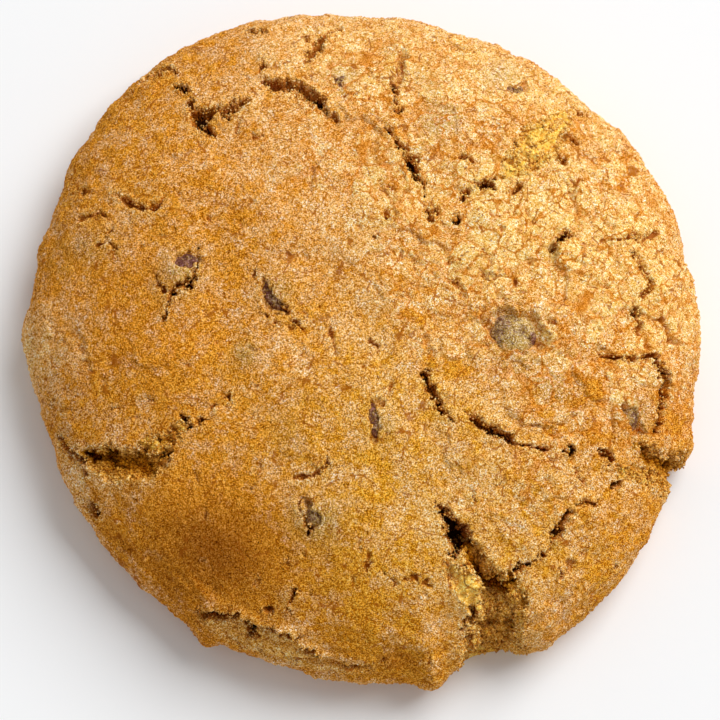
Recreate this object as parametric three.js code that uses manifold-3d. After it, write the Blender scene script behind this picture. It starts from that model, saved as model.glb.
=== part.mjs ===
// A chocolate-chip cookie: a thick domed cookie with a cracked crust, torn splits at its rim and chips that show.
import * as THREE from "three";
import { mergeVertices } from "three/addons/utils/BufferGeometryUtils.js";
import Module from "manifold-3d";

const wasm = await Module();
wasm.setup();

// Driving sizes in millimetres: +Z is up, the foot is on z = 0 and +Y is the far side of the cookie.
const HEIGHT = 19;
const WAIST = 5;
const FOOT_SHARE = 0.95;
const DOME_POWER = 0.8;
const SECTORS = 120;
const TOP_RINGS = 18;
const SIDE_RINGS = 4;
const FOOT_RINGS = 1;

// Distance from the middle to the rim, every 22.5 degrees anticlockwise from +X.
const RIM_RADII = [42.2, 42.7, 42.2, 42.3, 42.5, 44.2, 44.2, 42.2, 41.7, 40.9, 40.6, 41.6, 42.5, 42.8, 43.8, 42.0];

// Places where the rim is pushed out beside a split, or drawn in: degrees from +X, half-spread and distance.
const RIM_LIPS = [
  { bearing: -59, spread: 7, out: 1.4 },
  { bearing: -78.5, spread: 2.5, out: 1.6 },
  { bearing: -117, spread: 2, out: 1 },
  { bearing: -18, spread: 5, out: 1.3 },
  { bearing: 38, spread: 2.5, out: 0.6 },
  { bearing: 177, spread: 3.5, out: 0.6 },
  { bearing: 15, spread: 5, out: -0.5 },
  { bearing: -165, spread: 8, out: -0.5 },
];

const LIP_FADE = 5;

// Uneven crust: slow waves over the top and small waves round the side.
const WAVE_HEIGHT = 0.5;
const WAVE_LENGTH = 13;
const RIM_WAVE = 0.35;
const RIM_WAVE_LENGTH = 5;
const WAVE_SEED = 3;

// Gap between a chip and the pocket that it sits in.
const CLEARANCE = 0.3;

// Cracks stand this far out of the crust while they are cut, and shift sideways by this share of their width.
const CRACK_RISE = 2;
const CRACK_STEP = 1.3;
const CRACK_JAG = 0.45;
const CRACK_FLOOR_SHARE = 0.35;
const CRACK_END_SHARE = 0.15;

// Each crack follows a curve through its points. Width is at the crust, depth below it.
// A crack that opens runs out through the rim, and is widest there.
const CRACKS = [
  { name: "northwest elbow", width: 1.8, depth: 3, path: [[-24, 31.5], [-21.5, 30.5], [-21, 27.5], [-18, 24.5]] },
  { name: "northwest arm", width: 0.9, depth: 1.8, path: [[-20.5, 27], [-16.5, 27], [-13.5, 29]] },
  { name: "northwest rim", width: 0.8, depth: 1.5, path: [[-29.5, 32], [-26.5, 33.5], [-23.5, 33.5]] },
  { name: "north crack", width: 1.4, depth: 2.2, path: [[-12.5, 32], [-7.5, 30.5], [-5, 28], [-3, 26.5]] },
  { name: "north rim", width: 0.6, depth: 1, path: [[10, 37.5], [14, 36.5], [18, 35.5]] },
  { name: "north valley head", width: 1, depth: 1.6, path: [[4.5, 35], [4.5, 29.5], [5.5, 26.5]] },
  { name: "north valley", width: 1.4, depth: 3, path: [[3, 25.5], [4.5, 22], [7, 18.5], [9, 11.5]] },
  { name: "northeast pocket", width: 0.9, depth: 2, path: [[12, 12.5], [13, 16.5], [17, 18]] },
  { name: "northeast tear", width: 3.8, depth: 0.9, path: [[17.5, 18], [22, 22.5], [29, 31]] },
  { name: "east nick", width: 0.7, depth: 1.4, path: [[23, 8.5], [25, 10.5], [27, 11]] },
  { name: "east arc", width: 0.8, depth: 1.6, path: [[33.5, 10], [35.5, 6], [34, 2], [34, -1]] },
  { name: "east crack", width: 1, depth: 2, path: [[29.5, -4], [36, -3.5], [37.5, -7], [36.5, -12.5]] },
  { name: "east notch", width: 3.6, depth: 3.2, opens: true, path: [[33.5, -14], [36.5, -17], [44, -17.5]] },
  { name: "southeast crack", width: 1.2, depth: 3, path: [[13, -12], [16.5, -14], [22.5, -17], [29, -15.5]] },
  { name: "southeast stub", width: 0.7, depth: 1.5, path: [[28.5, -15.5], [32, -18]] },
  { name: "southeast arc", width: 0.8, depth: 1.8, path: [[32, -19], [26.5, -23], [23.5, -27], [19, -31.5]] },
  { name: "south split", width: 6.5, depth: 9, opens: true, path: [[9, -22.5], [12, -27], [14.5, -33], [15.5, -45]] },
  { name: "south stub", width: 0.8, depth: 1.5, path: [[13.5, -20.5], [14, -23.5]] },
  { name: "centre crack", width: 1, depth: 2.4, path: [[7.5, -7], [9.5, -10.5], [12, -14.5]] },
  { name: "west split", width: 3.2, depth: 2.4, path: [[-40.5, -11], [-32, -16.5], [-27, -18], [-22, -15.5]] },
  { name: "west split tail", width: 1.2, depth: 1.6, path: [[-23.5, -16], [-19, -12.5], [-16, -10]] },
  { name: "west rim", width: 0.8, depth: 1.5, path: [[-34.5, -16], [-32.5, -21.5], [-32, -23.5]] },
  { name: "southwest rim", width: 0.8, depth: 1.5, path: [[-19.5, -34.5], [-15.5, -35.5], [-12, -37.5]] },
  { name: "lower middle", width: 0.5, depth: 1, path: [[-8, -20], [-4.5, -19], [-3.5, -17]] },
  { name: "west crack", width: 0.6, depth: 1.2, path: [[-31.5, 17], [-27.5, 14.5], [-24, 15.5]] },
  { name: "west rim nick", width: 0.6, depth: 1.2, path: [[-35.5, 14.5], [-32, 14]] },
  { name: "west chip tail", width: 0.5, depth: 1, path: [[-23, 3], [-23.5, 1], [-25, -1.5]] },
];

// Chips that show through the crust. Proud is how far a chip stands above the crust round it.
const CHIPS = [
  { name: "chip_west", place: [-21.5, 7.5], length: 5.4, width: 4, height: 4.5, bearing: 60, proud: 0.45 },
  { name: "chip_midwest", place: [-11.5, 3], length: 5.2, width: 2.6, height: 4, bearing: -50, proud: 0.3 },
  { name: "chip_east", place: [18.8, -1.7], length: 7.2, width: 6.8, height: 5, bearing: 20, proud: 0.6 },
  { name: "chip_centre", place: [1.3, -13], length: 5.6, width: 2.4, height: 4.5, bearing: 95, proud: 0.3 },
  { name: "chip_south", place: [-5.5, -24.5], length: 4.4, width: 3.4, height: 4, bearing: 70, proud: 0.25 },
  { name: "chip_far_east", place: [33.5, -11], length: 4.5, width: 4, height: 4, bearing: 60, proud: 0.3 },
  { name: "chip_northeast", place: [19.5, 31.5], length: 3.4, width: 2.6, height: 3, bearing: 20, proud: 0.25 },
  { name: "chip_north", place: [-2.5, 32], length: 3.4, width: 2.8, height: 3, bearing: 0, proud: 0.25 },
];
const CHIP_TAPER = 0.3;
const CHIP_SIDES = 14;
const CHIP_RINGS = 8;

// Mounds where a chip lifts the crust, shown or covered: place, radius and rise.
const MOUNDS = [
  { place: [-23, 6.2], radius: 3.6, rise: 0.9 },
  { place: [-9.6, 3.4], radius: 3.2, rise: 0.7 },
  { place: [-14, -4.5], radius: 2.6, rise: 0.4 },
  { place: [18.8, -1.7], radius: 4.5, rise: 0.4 },
  { place: [3.4, -13.6], radius: 3, rise: 0.6 },
  { place: [-5.5, -24.3], radius: 3.4, rise: 0.6 },
  { place: [9.6, 26], radius: 3, rise: 0.4 },
  { place: [24, -8], radius: 3.2, rise: 0.4 },
  { place: [-8.6, -14.4], radius: 3, rise: 0.4 },
  { place: [-33, 11], radius: 3, rise: 0.4 },
];

// Rubble on the floor of the south split: place, height of its middle and radius.
const RUBBLE = [
  { place: [12.8, -29.5], middle: 9.5, radius: 1.5 },
  { place: [15.6, -33.8], middle: 7.2, radius: 1.8 },
  { place: [13.6, -35.2], middle: 6.4, radius: 1.5 },
  { place: [16.2, -36.8], middle: 4.6, radius: 1.7 },
  { place: [14.4, -37.6], middle: 3.6, radius: 1.6 },
];

const CRUST_COLOUR = 0xc98f45;
const CHOCOLATE_COLOUR = 0x4a2a22;

// Repeatable random number from 0 to 1 for a whole-number place on a grid.
function latticeValue(column, row, seed) {
  const turned = Math.sin(column * 127.1 + row * 311.7 + seed * 74.7) * 43758.5453;
  return turned - Math.floor(turned);
}

function smoothStep(share) {
  return share * share * (3 - 2 * share);
}

// Smooth noise from -1 to 1, with one lattice point for each unit of x and y.
function waveNoise(x, y, seed) {
  const column = Math.floor(x);
  const row = Math.floor(y);
  const across = smoothStep(x - column);
  const along = smoothStep(y - row);
  const near = THREE.MathUtils.lerp(latticeValue(column, row, seed), latticeValue(column + 1, row, seed), across);
  const far = THREE.MathUtils.lerp(
    latticeValue(column, row + 1, seed),
    latticeValue(column + 1, row + 1, seed),
    across,
  );
  return 2 * THREE.MathUtils.lerp(near, far, along) - 1;
}

// How far the lips beside the splits move the rim at an angle.
function rimLips(angle) {
  let out = 0;
  for (const lip of RIM_LIPS) {
    const away = angle - THREE.MathUtils.degToRad(lip.bearing);
    const apart = Math.atan2(Math.sin(away), Math.cos(away)) / THREE.MathUtils.degToRad(lip.spread);
    out += lip.out * Math.exp(-apart * apart);
  }
  return out;
}

// Rim radius at an angle without the lips: a smooth closed curve through the listed radii.
function rimRadius(angle) {
  const count = RIM_RADII.length;
  const turn = (angle / (2 * Math.PI)) * count;
  const whole = Math.floor(turn);
  const share = turn - whole;
  const [before, start, end, after] = [-1, 0, 1, 2].map((step) => RIM_RADII[(whole + step + count) % count]);
  const startSlope = (end - before) / 2;
  const endSlope = (after - start) / 2;
  const rest = share - 1;
  return (
    start * (1 + 2 * share) * rest * rest +
    end * share * share * (3 - 2 * share) +
    startSlope * share * rest * rest +
    endSlope * share * share * rest
  );
}

// Share of the way from the middle to the rim at a plan point. The lips fade out inwards.
function rimShare(x, y) {
  const angle = Math.atan2(y, x);
  const rim = rimRadius(angle);
  const distance = Math.hypot(x, y);
  const lip = rimLips(angle) * Math.pow(Math.min(1, distance / rim), LIP_FADE);
  return Math.min(1, distance / (rim + lip));
}

// Height that the waves and mounds add to the crust at a plan point.
function crustRelief(x, y) {
  let rise = WAVE_HEIGHT * waveNoise(x / WAVE_LENGTH, y / WAVE_LENGTH, WAVE_SEED);
  for (const { place, radius, rise: top } of MOUNDS) {
    const distance = Math.hypot(x - place[0], y - place[1]) / radius;
    rise += top * Math.exp(-2 * distance * distance);
  }
  return rise;
}

// Height of the crust at a plan point: the dome, then its relief, which dies out at the waist.
function crustHeight(x, y) {
  const dome = Math.sqrt(1 - Math.pow(rimShare(x, y), 2 / DOME_POWER));
  return WAIST + (HEIGHT - WAIST) * dome + crustRelief(x, y) * dome;
}

// Outward direction of the crust at a plan point, from the heights beside it.
function crustNormal(x, y) {
  const step = 0.5;
  const slopeX = (crustHeight(x + step, y) - crustHeight(x - step, y)) / (2 * step);
  const slopeY = (crustHeight(x, y + step) - crustHeight(x, y - step)) / (2 * step);
  return new THREE.Vector3(-slopeX, -slopeY, 1).normalize();
}

// Half-section of a round cookie with a rim radius of 1: dome, rounded side, flat foot.
function cookieProfile() {
  const points = [];
  for (let ring = 0; ring <= FOOT_RINGS; ring += 1) {
    points.push(new THREE.Vector2((FOOT_SHARE * ring) / (FOOT_RINGS + 1), 0));
  }
  for (let ring = 0; ring < SIDE_RINGS; ring += 1) {
    const turn = (Math.PI / 2) * (1 - ring / SIDE_RINGS);
    const reach = FOOT_SHARE + (1 - FOOT_SHARE) * Math.cos(turn);
    points.push(new THREE.Vector2(reach, WAIST * (1 - Math.sin(turn))));
  }
  for (let ring = 0; ring <= TOP_RINGS; ring += 1) {
    const turn = (Math.PI / 2) * (1 - ring / TOP_RINGS);
    const reach = ring === TOP_RINGS ? 0 : Math.pow(Math.sin(turn), DOME_POWER);
    points.push(new THREE.Vector2(reach, WAIST + (HEIGHT - WAIST) * Math.cos(turn)));
  }
  return points;
}

// Moves each vertex of the round cookie out to the real rim, and adds the crust's relief.
function shapeBody(geometry) {
  const position = geometry.getAttribute("position");
  for (let index = 0; index < position.count; index += 1) {
    const share = Math.hypot(position.getX(index), position.getY(index));
    const angle = Math.atan2(position.getY(index), position.getX(index));
    const height = position.getZ(index);
    const rim = rimRadius(angle);
    const round = (angle * rim) / RIM_WAVE_LENGTH;
    const wave = RIM_WAVE * share * waveNoise(round, height / RIM_WAVE_LENGTH, WAVE_SEED) * Math.min(1, height);
    const reach = share * (rim + wave + rimLips(angle) * Math.pow(share, LIP_FADE));
    const x = reach * Math.cos(angle);
    const y = reach * Math.sin(angle);
    const lift = Math.max(0, (height - WAIST) / (HEIGHT - WAIST));
    position.setXYZ(index, x, y, height + lift * crustRelief(x, y));
  }
}

// A closed solid that can be joined and cut.
function solidFrom(geometry, matrix) {
  const bare = geometry.clone();
  bare.deleteAttribute("normal");
  bare.deleteAttribute("uv");
  if (matrix) bare.applyMatrix4(matrix);
  const merged = mergeVertices(bare, 1e-4);
  const vertProperties = new Float32Array(merged.getAttribute("position").array);
  const triVerts = new Uint32Array(merged.index.array);
  return new wasm.Manifold(new wasm.Mesh({ numProp: 3, vertProperties, triVerts }));
}

function geometryFrom(solid) {
  const mesh = solid.getMesh();
  const geometry = new THREE.BufferGeometry();
  geometry.setAttribute("position", new THREE.BufferAttribute(mesh.vertProperties, mesh.numProp));
  geometry.setIndex(new THREE.BufferAttribute(mesh.triVerts, 1));
  geometry.computeVertexNormals();
  return geometry;
}

// Share of its full width that a crack has, a given share of the way along it.
function crackShare(crack, along) {
  if (crack.opens) return CRACK_END_SHARE + (1 - CRACK_END_SHARE) * along;
  return CRACK_END_SHARE + (1 - CRACK_END_SHARE) * Math.pow(Math.sin(Math.PI * along), 0.7);
}

// The wedge that cuts one crack: a box drawn out along the crack's curve, narrow at its floor.
function crackWedge(crack, seed) {
  const curve = new THREE.CatmullRomCurve3(crack.path.map(([x, y]) => new THREE.Vector3(x, y, 0)));
  const steps = Math.max(2, Math.round(curve.getLength() / CRACK_STEP));
  const geometry = new THREE.BoxGeometry(1, 1, 1, steps, 1, 1);
  const position = geometry.getAttribute("position");
  for (let index = 0; index < position.count; index += 1) {
    const along = position.getX(index) + 0.5;
    const side = position.getY(index);
    const isTop = position.getZ(index) > 0;
    const point = curve.getPointAt(along);
    const heading = curve.getTangentAt(along);
    const share = crackShare(crack, along);
    const surface = crustHeight(point.x, point.y);
    const spread = 1 + CRACK_RISE / crack.depth;
    const width = crack.width * share * (isTop ? spread : CRACK_FLOOR_SHARE);
    const jag = CRACK_JAG * Math.min(1, crack.width) * waveNoise(along * steps, side, seed);
    const shift = side * width + jag;
    const height = isTop ? surface + CRACK_RISE : surface - crack.depth * Math.sqrt(share);
    position.setXYZ(index, point.x - heading.y * shift, point.y + heading.x * shift, height);
  }
  return solidFrom(geometry);
}

// A chip lies with its broad side out and narrows inwards, like a drop.
function chipGeometry({ length, width, height }, grown) {
  const geometry = new THREE.SphereGeometry(1, CHIP_SIDES, CHIP_RINGS);
  geometry.rotateX(Math.PI / 2);
  const position = geometry.getAttribute("position");
  for (let index = 0; index < position.count; index += 1) {
    const up = position.getZ(index);
    const taper = 1 - CHIP_TAPER * (1 - up) * 0.5;
    position.setX(index, position.getX(index) * taper * (length / 2 + grown));
    position.setY(index, position.getY(index) * taper * (width / 2 + grown));
    position.setZ(index, up * (height / 2 + grown));
  }
  geometry.computeVertexNormals();
  return geometry;
}

function makeChip(chip) {
  const material = new THREE.MeshStandardMaterial({ color: CHOCOLATE_COLOUR, roughness: 0.55, metalness: 0 });
  const mesh = new THREE.Mesh(chipGeometry(chip, 0), material);
  const [x, y] = chip.place;
  const outward = crustNormal(x, y);
  const upright = new THREE.Quaternion().setFromUnitVectors(new THREE.Vector3(0, 0, 1), outward);
  const bearing = THREE.MathUtils.degToRad(chip.bearing);
  mesh.name = chip.name;
  mesh.position.set(x, y, crustHeight(x, y)).addScaledVector(outward, chip.proud - chip.height / 2);
  mesh.quaternion.copy(upright).multiply(new THREE.Quaternion().setFromAxisAngle(new THREE.Vector3(0, 0, 1), bearing));
  mesh.updateMatrix();
  return mesh;
}

function largestBody(solid) {
  return solid.decompose().reduce((largest, body) => (body.volume() > largest.volume() ? body : largest));
}

function makeCookie(chipMeshes) {
  const round = new THREE.LatheGeometry(cookieProfile(), SECTORS);
  round.rotateX(Math.PI / 2);
  shapeBody(round);
  let body = solidFrom(round);
  CRACKS.forEach((crack, order) => {
    body = body.subtract(crackWedge(crack, order));
  });
  for (const { place, middle, radius } of RUBBLE) {
    const lump = new THREE.IcosahedronGeometry(radius, 1);
    body = body.add(solidFrom(lump, new THREE.Matrix4().makeTranslation(place[0], place[1], middle)));
  }
  CHIPS.forEach((chip, order) => {
    body = body.subtract(solidFrom(chipGeometry(chip, CLEARANCE), chipMeshes[order].matrix));
  });
  const material = new THREE.MeshStandardMaterial({ color: CRUST_COLOUR, roughness: 0.9, metalness: 0 });
  const mesh = new THREE.Mesh(geometryFrom(largestBody(body)), material);
  mesh.name = "cookie";
  return mesh;
}

// Brings the middle of the cookie's plan over the origin.
function centreOver(cookie, meshes) {
  const middle = new THREE.Box3().setFromObject(cookie).getCenter(new THREE.Vector3());
  middle.z = 0;
  for (const mesh of meshes) mesh.position.sub(middle);
}

const chips = CHIPS.map(makeChip);
const cookie = makeCookie(chips);
const group = new THREE.Group();
group.add(cookie, ...chips);
centreOver(cookie, group.children);

export default group;
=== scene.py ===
"""Dresses a chocolate-chip cookie: cracked crust, chips that show, crumbs, and a plain studio stage."""

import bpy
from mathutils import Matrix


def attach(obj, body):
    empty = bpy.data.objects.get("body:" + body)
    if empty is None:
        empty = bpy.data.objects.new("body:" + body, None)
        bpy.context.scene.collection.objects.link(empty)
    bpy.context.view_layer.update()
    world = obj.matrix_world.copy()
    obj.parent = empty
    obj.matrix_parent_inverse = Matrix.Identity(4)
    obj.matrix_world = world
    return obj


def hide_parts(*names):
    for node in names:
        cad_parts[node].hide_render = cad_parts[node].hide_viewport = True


bl_info = {
    "name": "Chocolate Chip Cookie",
    "version": (1, 0, 0),
    "blender": (4, 5, 0),
    "location": "3D View > Sidebar > Cookie",
    "description": "Builds a baked cookie with a cracked crust, chips and crumbs over its solid model",
    "category": "Object",
}

from typing import NamedTuple

import bpy
import numpy as np
from bpy.props import FloatProperty, FloatVectorProperty, IntProperty, PointerProperty

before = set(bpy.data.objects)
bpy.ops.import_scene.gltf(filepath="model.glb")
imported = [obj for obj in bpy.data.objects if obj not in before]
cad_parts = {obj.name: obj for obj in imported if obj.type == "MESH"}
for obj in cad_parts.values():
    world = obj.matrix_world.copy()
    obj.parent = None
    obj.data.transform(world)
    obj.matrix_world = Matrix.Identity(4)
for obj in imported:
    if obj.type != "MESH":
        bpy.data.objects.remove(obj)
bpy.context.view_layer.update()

# Shapes are worked out in millimetres and stored in metres.
MM = 0.001
BODY = "root"

# The dome's section: the share of the rim that the foot has, and the power that squares the shoulder.
FOOT_SHARE = 0.95
DOME_POWER = 0.8

# Distance from the middle to the rim, every 22.5 degrees anticlockwise from +X.
RIM_RADII = (42.2, 42.7, 42.2, 42.3, 42.5, 44.2, 44.2, 42.2, 41.7, 40.9, 40.6, 41.6, 42.5, 42.8, 43.8, 42.0)

# Places where the rim is pushed out beside a split, or drawn in: degrees from +X, half-spread and distance.
RIM_LIPS = (
    (-59, 7, 1.4),
    (-78.5, 2.5, 1.6),
    (-117, 2, 1.0),
    (-18, 5, 1.3),
    (38, 2.5, 0.6),
    (177, 3.5, 0.6),
    (15, 5, -0.5),
    (-165, 8, -0.5),
)
LIP_FADE = 5

# Slow waves over the crust.
WAVE_HEIGHT = 0.5
WAVE_LENGTH = 13
WAVE_SEED = 3

# Mounds where a chip lifts the crust, shown or covered, and a ridge by the south split: place, radius, rise.
MOUNDS = (
    ((-23, 6.2), 3.6, 0.9),
    ((-9.6, 3.4), 3.2, 0.7),
    ((-14, -4.5), 2.6, 0.4),
    ((18.8, -1.7), 4.5, 0.4),
    ((3.4, -13.6), 3.0, 0.6),
    ((-5.5, -24.3), 3.4, 0.6),
    ((9.6, 26), 3.0, 0.4),
    ((24, -8), 3.2, 0.4),
    ((-8.6, -14.4), 3.0, 0.4),
    ((-33, 11), 3.0, 0.4),
    ((12.8, -33.6), 3.0, 1.0),
)


class Crack(NamedTuple):
    """A crack in the crust: points x, y and width in mm, or x and y with one width, and its greatest depth.

    Beads is how much pits vary it. Opens says that it runs out through the rim, and blunt that its ends keep
    their width. Lean tilts its floor to one side, step lifts one lip above the other, and floor is how much
    painted shade darkens a tear's floor.
    """

    path: tuple
    depth: float = 3.0
    width: float = 0.5
    beads: float = 0.2
    opens: bool = False
    blunt: bool = False
    lean: float = 0.0
    step: float = 0.0
    floor: float = 0.0


# A narrow crack is no deeper than this base and this many times its width.
CRACK_BASE_DEPTH = 0.4
CRACK_STEEPNESS = 1.3

# How much crumbling lips widen a crack, and how far beside it points are still looked at.
CRACK_WIDENING = 1.15
CRACK_MARGIN = 2.5

# Noise that bends a crack: size, amount and what it adds to the crack's seed.
CRACK_BENDS = ((3.2, 0.3, 0), (1.2, 0.42, 3), (0.6, 0.22, 5))

# Wide tears that show the crumb. Those that open run out through the rim. Their floor values paint shade on
# them.
TEARS = {
    "south split": Crack(
        ((12.8, -27.4, 1.1), (14.1, -29.4, 1.9), (15.8, -31.6, 2.8), (17, -33.9, 4), (17.2, -36.5, 4.8),
         (16.5, -39.1, 6.4), (16, -45, 7)), 3.2, opens=True, lean=0.4, floor=0.2),
    "south wall": Crack(
        ((18.2, -31.3, 1), (18.8, -32.9, 1.5), (19.3, -34.4, 1.5), (19.6, -36.5, 1)), 1.2, floor=0.2),
    "south hollow": Crack(
        ((14.6, -32.2, 1), (15.7, -32.7, 2.2), (17, -32.8, 2.4), (18.2, -32.4, 1.4)),
        1.6, blunt=True, floor=0.95),
    "south shade": Crack(
        ((12.4, -27.5, 1.2), (13, -28.4, 1.9), (13.5, -29.5, 2.3), (14, -30.5, 2.1), (14.7, -31.4, 1.2)),
        2.4, floor=0.95),
    "west split": Crack(
        ((-34.3, -15.6, 1), (-32.8, -16.2, 2.3), (-31.7, -16.7, 3.1), (-30.8, -17.1, 3.5),
         (-29.7, -17.5, 3.3), (-28.6, -17.7, 2.9), (-27, -17.9, 3), (-26, -17.7, 2.8), (-25, -17.3, 2.3),
         (-24, -16.8, 1.6), (-23, -16.2, 0.9)), 2.4, lean=-0.2, floor=0.72),
    "west crumb": Crack(
        ((-27, -15.4, 1.2), (-25.6, -15.6, 1.7), (-24.2, -15, 1.7), (-22.5, -13.9, 1.8),
         (-21.1, -12.8, 1.2)), 0.7, floor=0.3),
    "rim wall": Crack(
        ((-18.9, -36.2, 1.8), (-17.3, -36.9, 2.6), (-15.5, -37.6, 3.2), (-13.6, -38.3, 3.6),
         (-11.8, -39, 3.8), (-9.9, -39.6, 3.8), (-8.1, -40.2, 3.4), (-6, -40.9, 3), (-3.8, -41.6, 2.4),
         (-1.6, -42, 1.8)), 0.12),
    "east notch": Crack(
        ((33.6, -15, 0.9), (34.6, -15.6, 1.4), (35.9, -16.3, 2), (37.6, -16.8, 2.8), (44, -17, 3.8)),
        2.4, opens=True, lean=-0.4, floor=0.75),
    "east crumb": Crack(
        ((31.4, -19, 1), (33.1, -18.3, 1.8), (35.4, -18.4, 2.2), (44, -18.8, 2.6)),
        1.0, opens=True, floor=0.2),
    "south ridge": Crack(
        ((11.2, -30.4, 1.4), (12.2, -32.2, 3), (13.1, -33.6, 3.6), (13.6, -34.8, 2.6)), 0.6, blunt=True),
    "north east tear": Crack(
        ((17.6, 18.4, 1.5), (20.3, 21.1, 3.8), (22.7, 24.1, 4.2), (25.8, 28.7, 2.2)), 0.7),
}
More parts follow.
